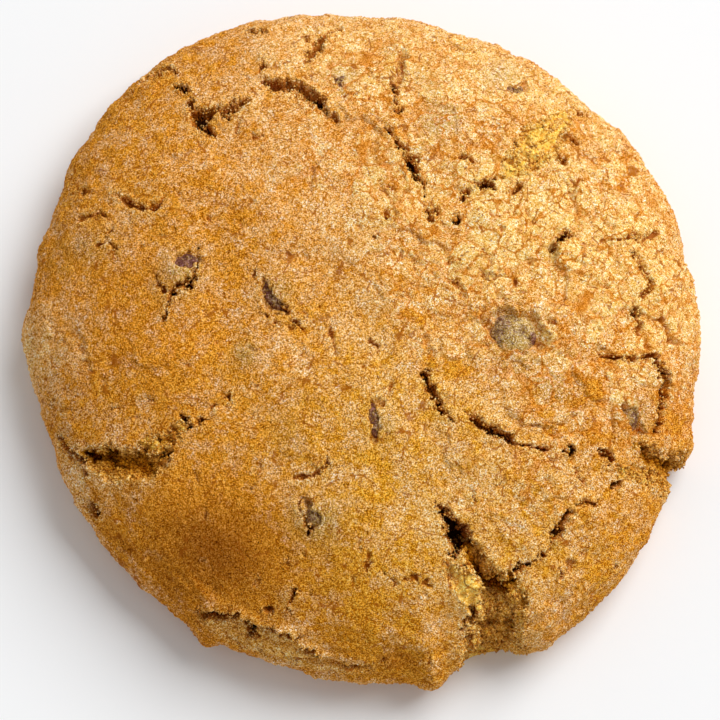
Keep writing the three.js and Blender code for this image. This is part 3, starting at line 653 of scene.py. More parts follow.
def rim_radius(angle):
    """Rim radius without the lips: a smooth closed curve through the listed radii."""
    radii = np.array(RIM_RADII)
    turn = angle / (2 * np.pi) * len(radii)
    whole = np.floor(turn).astype(int)
    share = turn - whole
    before, start, end, after = (radii[(whole + step) % len(radii)] for step in (-1, 0, 1, 2))
    rest = share - 1
    return (
        start * (1 + 2 * share) * rest**2
        + end * share**2 * (3 - 2 * share)
        + (end - before) / 2 * share * rest**2
        + (after - start) / 2 * share**2 * rest
    )


def rim_lips(angle):
    """How far the lips beside the splits move the rim: one soft bump for each."""
    out = np.zeros_like(angle)
    for bearing, spread, distance in RIM_LIPS:
        away = angle - np.radians(bearing)
        apart = np.arctan2(np.sin(away), np.cos(away)) / np.radians(spread)
        out += distance * np.exp(-apart * apart)
    return out


def crust_relief(x, y):
    """Height that the slow waves and the mounds over chips add."""
    rise = WAVE_HEIGHT * wave_noise(x / WAVE_LENGTH, y / WAVE_LENGTH, WAVE_SEED)
    for (mound_x, mound_y), radius, top in MOUNDS:
        rise = rise + top * np.exp(-2 * ((x - mound_x) ** 2 + (y - mound_y) ** 2) / radius**2)
    return rise


def crust_height(x, y, shape):
    """Height of the crust at plan points: the dome over the share of the rim radius, and the relief on it."""
    angle = np.arctan2(y, x)
    rim = rim_radius(angle)
    distance = np.hypot(x, y)
    lip = rim_lips(angle) * np.minimum(1, distance / rim) ** LIP_FADE
    share = np.minimum(1, distance / (rim + lip))
    dome = np.sqrt(1 - share ** (2 / DOME_POWER))
    waist = shape.waist / MM
    return waist + (shape.height / MM - waist) * dome + crust_relief(x, y) * dome


def crust_normal(x, y, shape):
    """Outward direction of the crust at one plan point, from the heights beside it."""
    step = 0.5
    slope_x = (crust_height(x + step, y, shape) - crust_height(x - step, y, shape)) / (2 * step)
    slope_y = (crust_height(x, y + step, shape) - crust_height(x, y - step, shape)) / (2 * step)
    outward = np.array((-slope_x, -slope_y, 1.0))
    return outward / np.linalg.norm(outward)


def dome_section(shape):
    """The section from the dome's top to the foot: share of its length, reach and height at each point."""
    waist, height = shape.waist / MM, shape.height / MM
    turn = np.linspace(0, np.pi / 2, 400)
    reach = np.concatenate([np.sin(turn) ** DOME_POWER, FOOT_SHARE + (1 - FOOT_SHARE) * np.cos(turn)[1:]])
    level = np.concatenate([waist + (height - waist) * np.cos(turn), waist * (1 - np.sin(turn[1:]))])
    lengths = np.hypot(np.diff(reach) * np.mean(RIM_RADII), np.diff(level))
    share = np.concatenate([[0], np.cumsum(lengths)])
    return share / share[-1], reach, level


def disc_grid(count):
    """A square grid bent into a disc: rings of the square become circles, with even steps along each side."""
    line = np.linspace(-1, 1, count)
    across, along = np.meshgrid(line, line)
    wide = np.abs(across) > np.abs(along)
    ring = np.where(wide, across, along)
    safe = np.where(ring == 0, 1, ring)
    turn = np.where(wide, np.pi / 4 * along / safe, np.pi / 2 - np.pi / 4 * across / safe)
    return ring * np.cos(turn), ring * np.sin(turn)


def crust_base(shape, count):
    """Grid of crust points before cracks: the disc's rings follow the section, out to the uneven rim."""
    flat_x, flat_y = disc_grid(count)
    angle = np.arctan2(flat_y, flat_x)
    share, section_reach, section_level = dome_section(shape)
    ring = np.hypot(flat_x, flat_y)
    reach = np.interp(ring, share, section_reach)
    level = np.interp(ring, share, section_level)
    distance = reach * (rim_radius(angle) + rim_lips(angle) * reach**LIP_FADE)
    x, y = distance * np.cos(angle), distance * np.sin(angle)
    waist = shape.waist / MM
    lift = np.maximum(0, (level - waist) / (shape.height / MM - waist))
    return np.stack([x, y, level + lift * crust_relief(x, y)], axis=-1)


def grid_normals(grid):
    """Unit normals of a grid surface: the cross product of its differences along columns and rows."""
    normals = np.cross(np.gradient(grid, axis=1), np.gradient(grid, axis=0))
    return normals / np.maximum(np.linalg.norm(normals, axis=2, keepdims=True), 1e-9)


def smooth_path(knots, step):
    """Points along a smooth curve through knots: a cubic between two, with slopes from their neighbours."""
    padded = np.vstack([2 * knots[0] - knots[1], knots, 2 * knots[-1] - knots[-2]])
    pieces = []
    for before, start, end, after in zip(padded[:-3], padded[1:-2], padded[2:-1], padded[3:]):
        count = max(2, int(np.linalg.norm((end - start)[:2]) / step))
        share = np.linspace(0, 1, count, endpoint=False)[:, None]
        bend = (2 * before - 5 * start + 4 * end - after) * share**2
        turn = (3 * start - before - 3 * end + after) * share**3
        pieces.append(start + 0.5 * ((end - before) * share + bend + turn))
    return np.vstack(pieces + [knots[-1:]])


def nearest_on_path(points, path):
    """Distance from points to a polyline, the length along it there, and 1 on its left or -1 on its right."""
    distance = np.full(len(points), np.inf)
    along = np.zeros(len(points))
    side = np.ones(len(points))
    begun = 0.0
    for start, end in zip(path[:-1], path[1:]):
        span = end - start
        length = np.linalg.norm(span)
        offset = points - start
        share = np.clip(offset @ span / length**2, 0, 1)
        gap = np.linalg.norm(offset - share[:, None] * span, axis=1)
        closer = gap < distance
        distance = np.where(closer, gap, distance)
        along = np.where(closer, begun + share * length, along)
        side = np.where(closer, np.sign(span[0] * offset[:, 1] - span[1] * offset[:, 0]), side)
        begun += length
    return distance, along, side


def crack_path(crack):
    """A crack's smooth path as x, y and width."""
    knots = np.array(crack.path, dtype=float)
    if knots.shape[1] == 2:
        knots = np.column_stack([knots, np.full(len(knots), crack.width)])
    return smooth_path(knots, 0.3)


class Cut(NamedTuple):
    """What one crack does to the points near it: which they are, then one value for each."""

    near: np.ndarray
    depth: np.ndarray
    lip: np.ndarray
    fault: np.ndarray
    inside: np.ndarray
    core: np.ndarray
    ledge: np.ndarray


def end_fade(crack, along, length):
    """How much of a crack is left near its ends, from 0 to 1: the root of the share of a short taper."""
    taper = min(0.3 * length, 1.0)
    fade = np.ones(len(along)) if crack.blunt else np.clip(along / taper, 0, 1) ** 0.5
    if not (crack.blunt or crack.opens):
        fade = fade * np.clip((length - along) / taper, 0, 1) ** 0.5
    return fade


def crack_cut(points, jags, crack, seed, shape):
    """Depth of one crack at the points near it, its lips, steps at its sides, its inside, floor and edge.

    The distance to the crack's path, roughened by noise and by a value for each grain of crumb, over half its
    width gives a wall and a floor. The width tapers to the ends, and pits along the path deepen it.
    """
    samples = crack_path(crack)
    reach = samples[:, 2].max() + CRACK_MARGIN
    plan = points[:, :2]
    low, high = samples[:, :2].min(axis=0) - reach, samples[:, :2].max(axis=0) + reach
    near = np.nonzero(np.all((plan > low) & (plan < high), axis=1))[0]
    close = points[near]
    loose = close
    for size, amount, more in CRACK_BENDS:
        loose = wander(loose, size, amount, seed + more)
    path = np.column_stack([samples[:, :2], crust_height(samples[:, 0], samples[:, 1], shape)])
    if crack.opens:
        path, loose = path[:, :2], loose[:, :2]
    distance, along, side = nearest_on_path(loose, path)
    spans = np.linalg.norm(np.diff(path, axis=0), axis=1)
    lengths = np.concatenate([[0], np.cumsum(spans)])
    width = CRACK_WIDENING * np.interp(along, lengths, samples[:, 2])
    fade = end_fade(crack, along, lengths[-1])
    teeth = 1.5 * (jags[near] - 0.5) + 0.7 * lump_noise(close, 0.9, seed + 30)
    teeth = np.minimum(0.4, 0.1 + 0.34 * width) * teeth
    pits = 1 + 1.8 * crack.beads * lump_noise(close, 1.6, seed + 90)
    half = np.maximum(0.05, 0.5 * width * (0.35 + 0.65 * fade) * np.clip(0.5 + 0.5 * pits, 0.3, 1.4))
    share = (distance + teeth) / half
    inside = smooth_step(1.15, 0.75, share)
    core = smooth_step(0.9, 0.35, share)
    slope = 1 + crack.lean * np.clip(-side * distance / half, -1, 1)
    deepest = np.minimum(crack.depth, CRACK_BASE_DEPTH + CRACK_STEEPNESS * width)
    depth = deepest * (0.3 + 0.7 * fade) * np.clip(pits, 0.3, 1.6) * slope * (0.6 * inside + 0.4 * core)
    lip = np.exp(-((distance / (half + 0.7)) ** 2)) * fade
    fault = crack.step * side * np.exp(-distance / 2.0) * fade * (1 - inside)
    ledge = 4 * inside * (1 - inside) * np.minimum(1, depth / 0.5)
    return Cut(near, depth, lip, fault, inside, core * np.clip(pits, 0, 1), ledge)


def hair_cracks():
    """Short straight cracks strewn evenly over the plan by a seeded draw."""
    draw = np.random.default_rng(PIT_SEED)
    distance = PIT_REACH * np.sqrt(draw.random(PIT_COUNT))
    angle = draw.random(PIT_COUNT) * 2 * np.pi
    heading = draw.random(PIT_COUNT) * 2 * np.pi
    length = draw.uniform(*PIT_LENGTH, PIT_COUNT)
    width = draw.uniform(*PIT_WIDTH, PIT_COUNT)
    depth = draw.uniform(*PIT_DEPTH, PIT_COUNT)
    middle = np.stack([distance * np.cos(angle), distance * np.sin(angle)], axis=1)
    half = 0.5 * length[:, None] * np.stack([np.cos(heading), np.sin(heading)], axis=1)
    ends = np.stack([middle - half, middle + half], axis=1)
    return [Crack(tuple(map(tuple, pair)), deep_shade, wide) for pair, wide, deep_shade in zip(ends, width, depth)]


def patch_sum(points, patches):
    """Soft round patches on the plan, added up."""
    total = np.zeros(len(points))
    for (x, y), radius, amount in patches:
        total += amount * np.exp(-((points[:, 0] - x) ** 2 + (points[:, 1] - y) ** 2) / radius**2)
    return total


def above_floor(height):
    """0 at the foot and 1 from 2 mm up, so that the relief leaves the foot flat."""
    return smooth_step(0.2, 2.0, height)


def wall_layers(points):
    """Layers in the side: noise that is long round the cookie and thin upwards, strongest at one bearing."""
    angle = np.arctan2(points[:, 1], points[:, 0])
    round_about = np.column_stack([8 * np.cos(angle), 8 * np.sin(angle), points[:, 2] / 0.9])
    noise = lump_noise(round_about, 1, 51) + 0.5 * lump_noise(2 * round_about, 1, 52)
    apart = np.angle(np.exp(1j * (angle - LAYER_BEARING)))
    strength = 0.25 + 0.75 * np.exp(-(apart**2) / LAYER_SPREAD**2)
    return smooth_step(13, 9, points[:, 2]) * noise * strength


class Breaks(NamedTuple):
    """What all cracks together do to the crust, one value for each point.

    The first four are depths, by kind of crack. Opening is the inside of the windows, edge the crumbling
    beside cracks, faults the steps beside them, torn the inside of tears, ledges the rims where crumbs lie,
    floor the painted shade on tears' floors, and dark the painted shade at the bottoms of the deepest cracks.
    """

    tear: np.ndarray
    slot: np.ndarray
    line: np.ndarray
    window: np.ndarray
    opening: np.ndarray
    edge: np.ndarray
    faults: np.ndarray
    torn: np.ndarray
    ledges: np.ndarray
    floor: np.ndarray
    dark: np.ndarray


def raise_to(values, places, levels):
    """Lifts the values at some places to levels where they are lower."""
    values[places] = np.maximum(values[places], levels)


def crust_breaks(points, jags, shape):
    """Cuts every tear, crack, line and window. Where several meet, the strongest counts."""
    breaks = Breaks(*(np.zeros(len(points)) for _ in Breaks._fields))
    kinds = (
        (TEARS.values(), breaks.tear),
        (SLOTS.values(), breaks.slot),
        ((*LINES.values(), *hair_cracks()), breaks.line),
        ([Crack(chip.window, WINDOW_DEPTH, blunt=True) for chip in CHIPS.values()], breaks.window),
    )
    seed = 0
    for cracks, depths in kinds:
        for crack in cracks:
            seed += 1
            found = crack_cut(points, jags, crack, seed, shape)
            near = found.near
            raise_to(depths, near, found.depth)
            raise_to(breaks.edge, near, found.lip * min(1, crack.depth / 1.5))
            breaks.faults[near] += found.fault
            if depths is breaks.window:
                raise_to(breaks.opening, near, found.inside)
            else:
                raise_to(breaks.ledges, near, found.ledge)
            if depths is breaks.tear:
                raise_to(breaks.torn, near, found.inside * min(1, 0.1 + 1.4 * crack.depth))
                # A tear's floor value paints shade on its floor; a tear without one clears it.
                if crack.floor > 0:
                    raise_to(breaks.floor, near, (0.4 * found.inside + 0.6 * found.core) * crack.floor)
                else:
                    breaks.floor[near] *= 1 - found.inside
            # Slots get painted shade at their bottoms: the deeper the crack, the darker.
            if depths is breaks.slot:
                deep_shade = smooth_step(0.8, 3.2, crack.depth)
                raise_to(breaks.dark, near, smooth_step(0.1, 0.7, found.core) * deep_shade)
    return breaks


class Flakes(NamedTuple):
    """The plates that the crust breaks into: where, their wide seams, all seams, shades and heights."""

    flaky: np.ndarray
    gaping: np.ndarray
    seam: np.ndarray
    tone: np.ndarray
    rise: np.ndarray


def crust_flakes(points):
    """Plates of two sizes with bent seams: large seams show where a noise is high, small ones elsewhere."""
    flaky = np.clip(patch_sum(points, FLAKING) + 0.3 * lump_noise(points, 6, 21), 0, 1)
    bent = points
    for size, amount, seed in PLATE_BENDS:
        bent = wander(bent, size, amount, seed)
    broad_seam, broad_tone, broad_tilt = plates(bent, PLATE_SIZES[0], 8)
    small_seam, small_tone, small_tilt = plates(bent, PLATE_SIZES[1], 9)
    strength = smooth_step(-0.4, 0.4, lump_noise(points, 4, 22))
    gaping = smooth_step(0.2, 0.6, lump_noise(points, 2.2, 23)) * flaky
    broad = smooth_step(0.35, 0.0, broad_seam) * flaky * (0.25 + 0.75 * strength)
    small = smooth_step(0.3, 0.0, small_seam) * (0.04 + 0.8 * flaky * (1 - strength))
    heights = 0.13 * broad_tone + 0.09 * broad_tilt + 0.07 * small_tone + 0.08 * small_tilt
    rise = heights * (0.05 + 0.95 * flaky)
    return Flakes(flaky, gaping, np.maximum(broad, small), broad_tone + small_tone, rise)


def crust_fields(points, shape):
    """How far cracks, plates and windows move each crust point outwards, and what its surface shows."""
    grit, jags = crumb_grains(points, GRAIN_SIZE, 44)
    breaks = crust_breaks(points, jags, shape)
    flakes = crust_flakes(points)
    flaky, seam = flakes.flaky, flakes.seam
    rim = smooth_step(15, 9, points[:, 2])
    crumbly = np.clip(0.2 + 0.3 * flaky + 0.5 * lump_noise(points, 3.5, 45), 0.12, 1)
    crumbly = np.maximum(crumbly, breaks.edge) + 0.7 * rim
    grains = (0.2 * grit + 0.14 * jags) * crumbly
    layers = wall_layers(points)
    waves = 0.24 * lump_noise(points, 2.6, 42) * (0.5 + 0.5 * flaky)
    lumps = 0.3 * lump_noise(points, 6, 41) + waves + 0.5 * layers + 0.28 * rim * lump_noise(points, 1.9, 46)
    rise = lumps + flakes.rise + grains + 0.15 * breaks.edge + breaks.faults
    rise = rise - breaks.tear - breaks.slot - breaks.line - seam * (0.2 + 0.5 * flakes.gaping)
    rise = rise * above_floor(points[:, 2]) * (1 - 0.8 * breaks.opening) - breaks.window
    # Painted shade: the walls of slots, thin lines and gaping seams are darkened through the pit look.
    walls = smooth_step(0.15, 0.7, breaks.slot)
    # Creases between grains, seams and the hollows between the side's layers, kept for painted shade.
    creases = seam + 0.5 * smooth_step(0.45, 0.0, grit) * crumbly + smooth_step(0.2, 0.7, -layers)
    looks = {
        "torn": np.clip(breaks.torn, 0, 1),
        "floor": breaks.floor,
        "pit": np.clip(walls + 0.45 * smooth_step(0.15, 0.7, breaks.line) + seam * flakes.gaping, 0, 1),
        # Painted shade at the bottoms of the deepest cracks.
        "deep_shade": breaks.dark,
        "crease_shade": np.clip(creases, 0, 1),
        # Pale crust, with painted light from three of its patches.
        "pale": patch_sum(points, PALENESS_AND_LIGHT) + 0.3 * flakes.tone * flaky + 0.3 * layers,
        "brown": patch_sum(points, BROWNING),
        "butter": patch_sum(points, BUTTER),
        "stain": np.clip(patch_sum(points, STAINS), 0, 1),
        "flaky": flaky,
        "lip": breaks.edge * (1 - walls),
        "ledge": breaks.ledges + 0.4 * breaks.torn * smooth_step(0.6, 1.2, breaks.tear),
    }
    return rise, looks


def crumb_relief(points, torn):
    """Clumps of crumb of two sizes, strong only where the crust is torn, and the creases between them."""
    rough = np.nonzero(torn > 0.02)[0]
    rise, creases = np.zeros(len(points)), np.zeros(len(points))
    broad, _ = crumb_grains(points[rough], CLUMP_SIZES[0], 61)
    small, _ = crumb_grains(points[rough], CLUMP_SIZES[1], 64)
    rise[rough] = torn[rough] * (0.9 * (broad - 0.4) + 0.5 * (small - 0.4))
    creases[rough] = torn[rough] * smooth_step(0.3, 0.0, np.minimum(broad, small + 0.1))
    return rise, creases


def foot_rings(rim, shares):
    """Flat rings under the cookie: the rim's loop drawn in by each share, then the middle."""
    rings = [np.column_stack([rim[:, :2] * share, np.zeros(len(rim))]) for share in shares]
    return np.vstack(rings + [np.zeros((1, 3))])


def square_loop(count):
    """Indices round the edge of a square grid, anticlockwise."""
    line = np.arange(count)
    bottom, right = line[:-1], line[:-1] * count + count - 1
    top, left = (count - 1) * count + line[:0:-1], line[:0:-1] * count
    return np.concatenate([bottom, right, top, left])


def ring_faces(outer, inner):
    """Quads between two closed loops of equal length."""
    return np.stack([outer, inner, np.roll(inner, -1), np.roll(outer, -1)], axis=1)


def grid_faces(rows, columns):
    """Quads of a grid of points."""
    index = np.arange(rows * columns).reshape(rows, columns)
    corners = (index[:-1, :-1], index[:-1, 1:], index[1:, 1:], index[1:, :-1])
    return np.stack(corners, axis=-1).reshape(-1, 4)


def mesh_from(name, points, quads, triangles=None, looks=None):
    """A mesh in metres from points in millimetres, with smooth faces and a point attribute for each look."""
    triangles = np.zeros((0, 3), dtype=int) if triangles is None else triangles
    corners = np.concatenate([quads.ravel(), triangles.ravel()]).astype(np.int32)
    sizes = np.concatenate([np.full(len(quads), 4), np.full(len(triangles), 3)])
    starts = np.concatenate([[0], np.cumsum(sizes)[:-1]]).astype(np.int32)
    mesh = bpy.data.meshes.new(name)
    mesh.vertices.add(len(points))
    mesh.vertices.foreach_set("co", (points * MM).astype(np.float32).ravel())
    mesh.loops.add(len(corners))
    mesh.loops.foreach_set("vertex_index", corners)
    mesh.polygons.add(len(sizes))
    mesh.polygons.foreach_set("loop_start", starts)
    mesh.update(calc_edges=True)
    mesh.polygons.foreach_set("use_smooth", np.ones(len(sizes), dtype=bool))
    for look, values in (looks or {}).items():
        mesh.attributes.new(look, "FLOAT", "POINT").data.foreach_set("value", values.astype(np.float32))
    mesh.validate()
    return mesh


def add_piece(name, mesh, material):
    """A piece of the cookie in the scene, with its finish."""
    piece = bpy.data.objects.new(name, mesh)
    bpy.context.scene.collection.objects.link(piece)
    mesh.materials.clear()
    mesh.materials.append(material)
    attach(piece, BODY)
    return piece


def thin_mesh(piece, triangles):
    """Collapses edges on even parts until the piece has about this many triangles."""
    faces = np.zeros(len(piece.data.polygons), dtype=np.int32)
    piece.data.polygons.foreach_get("loop_total", faces)
    modifier = piece.modifiers.new("thin", "DECIMATE")
    modifier.ratio = triangles / float((faces - 2).sum())
    modifier.use_collapse_triangulate = True
    bpy.context.view_layer.update()
    result = piece.evaluated_get(bpy.context.evaluated_depsgraph_get())
    thinned = bpy.data.meshes.new_from_object(result)
    piece.modifiers.remove(modifier)
    dense = piece.data
    piece.data = thinned
    bpy.data.meshes.remove(dense)


class Value:
    """A shader value. Python's operators on it add Math nodes."""

    def __init__(self, finish, socket):
        self.finish = finish
        self.socket = socket

    def math(self, operation, *others):
        """A Math node's result, with this value in its first socket."""
        made = self.finish.node("ShaderNodeMath", {"operation": operation}, dict(enumerate((self, *others))))
        return Value(self.finish, made.outputs[0])

    def __add__(self, other):
        return self.math("ADD", other)

    def __sub__(self, other):
        return self.math("SUBTRACT", other)

    def __mul__(self, other):
        return self.math("MULTIPLY", other)

    def __rsub__(self, other):
        made = self.finish.node("ShaderNodeMath", {"operation": "SUBTRACT"}, {0: other, 1: self})
        return Value(self.finish, made.outputs[0])

    __radd__ = __add__
    __rmul__ = __mul__

    def clamped(self):
        """The value kept between 0 and 1."""
        return self.math("MAXIMUM", 0.0).math("MINIMUM", 1.0)

    def between(self, low, high):
        """0 below low, 1 above high and a smooth S between them."""
        sockets = {"Value": self, "From Min": low, "From Max": high}
        made = self.finish.node("ShaderNodeMapRange", {"interpolation_type": "SMOOTHSTEP"}, sockets)
        return Value(self.finish, made.outputs["Result"])


class Finish:
    """One material's nodes."""

    def __init__(self, name):
        self.material = bpy.data.materials.new(name)
        self.material.use_nodes = True
        self.tree = self.material.node_tree
        self.tree.nodes.clear()
        self.place = self.node("ShaderNodeTexCoord").outputs["Object"]

    def node(self, kind, settings=None, sockets=None):
        """A node of a kind: its settings first, then a value or a link for each socket."""
        made = self.tree.nodes.new(kind)
        for setting, value in (settings or {}).items():
            setattr(made, setting, value)
        for socket, value in (sockets or {}).items():
            source = value.socket if isinstance(value, Value) else value
            if isinstance(source, bpy.types.NodeSocket):
                self.tree.links.new(source, made.inputs[socket])
            else:
                made.inputs[socket].default_value = source
        return made

    def attribute(self, name):
        """A look that is stored on the mesh's points."""
        return Value(self, self.node("ShaderNodeAttribute", {"attribute_name": name}).outputs["Fac"])

    def noise(self, size, detail=2.0, roughness=0.5):
        """Smooth noise about 0.5 whose lumps have a size in millimetres."""
        sockets = {"Vector": self.place, "Scale": 1 / (size * MM), "Detail": detail, "Roughness": roughness}
        return Value(self, self.node("ShaderNodeTexNoise", None, sockets).outputs["Fac"])

    def grains(self, size, place=None):
        """Cells of a size in millimetres, with a random value for each."""
        sockets = {"Vector": place or self.place, "Scale": 1 / (size * MM)}
        made = self.node("ShaderNodeTexVoronoi", {"feature": "F1"}, sockets)
        split = self.node("ShaderNodeSeparateColor", None, {"Color": made.outputs["Color"]})
        return Value(self, split.outputs[0])

    def bent(self, size, amount):
        """Object places pushed about by noise of a size, by about an amount, both in millimetres."""
        sockets = {"Vector": self.place, "Scale": 1 / (size * MM), "Detail": 2.0}
        push = self.node("ShaderNodeTexNoise", None, sockets).outputs["Color"]
        middle, step = (0.5,) * 3, (amount * MM,) * 3
        away = self.node("ShaderNodeVectorMath", {"operation": "SUBTRACT"}, {0: push, 1: middle}).outputs[0]
        settings = {"operation": "MULTIPLY_ADD"}
        return self.node("ShaderNodeVectorMath", settings, {0: away, 1: step, 2: self.place}).outputs[0]

    def seams(self, size, place):
        """Distance to the seams between cells of a size, as a share of it: second nearest less nearest."""
        sockets = {"Vector": place, "Scale": 1 / (size * MM)}
        near, next_near = (
            Value(self, self.node("ShaderNodeTexVoronoi", {"feature": feature}, sockets).outputs["Distance"])
            for feature in ("F1", "F2")
        )
        return next_near - near

    def mix(self, share, first, second, blend="MIX"):
        """A colour between two colours."""
        settings = {"data_type": "RGBA", "blend_type": blend, "clamp_result": True}
        made = self.node("ShaderNodeMix", settings, {0: share, 6: first, 7: second})
        return made.outputs[2]

    def warm(self, value):
        """A grey that turns orange below 1: green and blue fall faster than red, for darker grains and for
        painted shade.
        """
        value = value.math("MAXIMUM", 0.0)
        parts = {part: value.math("POWER", power) * scale for part, (power, scale) in enumerate(WARMTH)}
        return self.node("ShaderNodeCombineColor", None, parts).outputs[0]

    def bump(self, height, distance):
        """Normals tilted by a height whose full range is a distance in millimetres."""
        sockets = {"Height": height, "Distance": distance * MM, "Strength": 1.0}
        return self.node("ShaderNodeBump", None, sockets).outputs["Normal"]

    def surface(self, colour, roughness, normal, specular):
        """The finished material: one shader of a colour, a roughness, tilted normals if any, and a shine."""
        sockets = {"Base Color": colour, "Roughness": roughness, "Specular IOR Level": specular}
        if normal:
            sockets["Normal"] = normal
        shader = self.node("ShaderNodeBsdfPrincipled", None, sockets)
        self.node("ShaderNodeOutputMaterial", None, {"Surface": shader.outputs[0]})
        return self.material


def opaque(colour):
    """A property's colour with full alpha, as a socket takes it."""
    return (*colour, 1.0)


def crackle_shade_lines(finish, loose, flaky):
    """Painted shade in the fine cracks between flakes: seams of cells of two sizes, each in its own patches,
    where the crust flakes.
    """
    bold = finish.seams(3.4, loose).between(0.1, 0.04)
    thin = finish.seams(1.5, loose).between(0.13, 0.05)
    broken = finish.noise(2.0, 1.0).between(0.35, 0.6)
    return ((bold * broken + thin * (1.0 - broken) * 0.8) * flaky.between(0.1, 0.6)).clamped()


def hair_lines(finish):
    """Long hair lines that come and go, painted shade in fine cracks: seams of large cells, where a noise is
    high.
    """
    lines = finish.seams(5.0, finish.bent(2.0, 1.4)).between(0.034, 0.018)
    return lines * finish.noise(1.4, 1.0).between(0.5, 0.6)


def crust_finish(colours):
    """Sandy baked crust: golden, paler on flaking plates, browned in patches, with crumb where it is torn.

    Coats of colour are mixed on one after the other, each by its own share; the coats in creases, seams,
    crack walls and crack bottoms are painted shade. A shade for each grain, with painted shade on the floors
    of tears, multiplies them, and painted shade as dark specks and hair lines comes last.
    """
    finish = Finish("crust")
    torn, pit, crease_shade, lip = (finish.attribute(name) for name in ("torn", "pit", "crease_shade", "lip"))
    pale, brown, stain, flaky = (finish.attribute(name) for name in ("pale", "brown", "stain", "flaky"))
    floor, deep_shade, butter = (finish.attribute(name) for name in ("floor", "deep_shade", "butter"))
    patches = finish.noise(2.4, 3.0, 0.6)
    sand = finish.noise(0.45, 2.0, 0.6)
    tone, grain, speck = (finish.grains(size) for size in (0.09, 0.19, 0.2))
    clump = finish.grains(0.6, finish.bent(0.5, 0.6))
    loose = finish.bent(1.6, 2.2)
    plate = finish.grains(1.5, loose)
    crackle_shade = crackle_shade_lines(finish, loose, flaky)
    mottle = (patches - 0.5) * 1.2 + (clump - 0.5) * (0.25 + pale * 0.3) + (plate - 0.5) * flaky * 0.6
    coats = (
        (butter.clamped(), opaque(colours.butter)),
        # Creases take paleness away: painted shade.
        ((pale * 0.9 + 0.1 + mottle - brown * 0.9 - crease_shade * 0.3).clamped(), opaque(colours.pale)),
        ((brown * 0.9 + (patches - 0.5) * 0.4).clamped(), opaque(colours.toasted)),
        (
            (stain * (0.44 + (sand - 0.5) * 0.9)).clamped(),
            finish.mix(pale.clamped(), opaque(colours.stain), opaque(colours.haze)),
        ),
        ((lip * (0.3 + (sand - 0.5))).clamped(), opaque(colours.crumb)),
        (torn, opaque(colours.crumb)),
        # Painted shade in the fine cracks between flakes.
        ((crackle_shade * (1.0 - torn) * 0.9).clamped(), opaque(colours.seam)),
        # Painted shade in shallow seams and creases.
        ((crease_shade * 0.4 * (1.0 - torn)).clamped(), opaque(colours.amber_shade)),
        # Painted shade on the walls of cracks, in thin lines, gaping seams and creases between crumb clumps.
        ((pit * (0.55 + grain * 0.9)).between(0.2, 0.7) * 0.9, opaque(colours.pit)),
        # Painted shade, near black, at the bottoms of the deepest cracks.
        ((deep_shade + (grain - 0.5) * 0.5).between(0.35, 0.55) * 0.96, opaque(colours.hollow_shade)),
    )
    colour = opaque(colours.golden)
    for share, coat in coats:
        colour = finish.mix(share, colour, coat)
    contrast = 1.65 - pale.clamped() * 0.85 - torn * 0.7
    shade = 1.0 + (sand - 0.5) * 0.5 + (tone - 0.5) * contrast + (grain - 0.5) * 0.45
    # Painted shade on the floors of tears, deeper in creases between clumps.
    shade = shade * (1.0 - (floor * (0.84 + (patches - 0.5) * 0.8 + (grain - 0.5) * 0.4)).clamped())
    colour = finish.mix(1.0, colour, finish.warm(shade), "MULTIPLY")
    # Painted shade in tiny pits and fine hair cracks: dark specks and lines.
    speck_and_hair_shade = (speck.between(0.045, 0.036) * 0.75 + hair_lines(finish) * 0.8).clamped()
    colour = finish.mix(speck_and_hair_shade, colour, opaque(colours.pit))
    return finish.surface(colour, 0.85, finish.bump(sand, 0.1), 0.02)


def chocolate_finish(colours):
    """Satin chocolate with crumb dust lying on it, as much as each chip's dust attribute says."""
    finish = Finish("chocolate")
    dust = finish.attribute("dust")
    fine = finish.noise(0.35, 3.0, 0.65)
    broad = finish.noise(1.2, 2.0)
    cover = (dust * 1.2 + (fine - 0.5) * 2.8 + (broad - 0.5) * 1.8 - 0.25).clamped() * 0.85
    bloom = finish.noise(0.6, 3.0, 0.6)
    tone = finish.grains(0.1)
    colour = finish.mix(bloom.between(0.4, 0.7), opaque(colours.chocolate), opaque(colours.bloom))
    colour = finish.mix(cover, colour, opaque(colours.dust))
    colour = finish.mix(1.0, colour, finish.warm(0.4 + tone * 1.2), "MULTIPLY")
    normal = finish.bump(fine + cover * 0.5, 0.12)
    return finish.surface(colour, cover * 0.3 + 0.6, normal, 0.2)


def floor_finish(colours):
    """Plain pale paper floor."""
    finish = Finish("floor")
    tone = finish.noise(60.0, 2.0)
    colour = finish.mix(tone, opaque(colours.floor), opaque([value * 0.985 for value in colours.floor]))
    return finish.surface(colour, 0.9, None, 0.1)


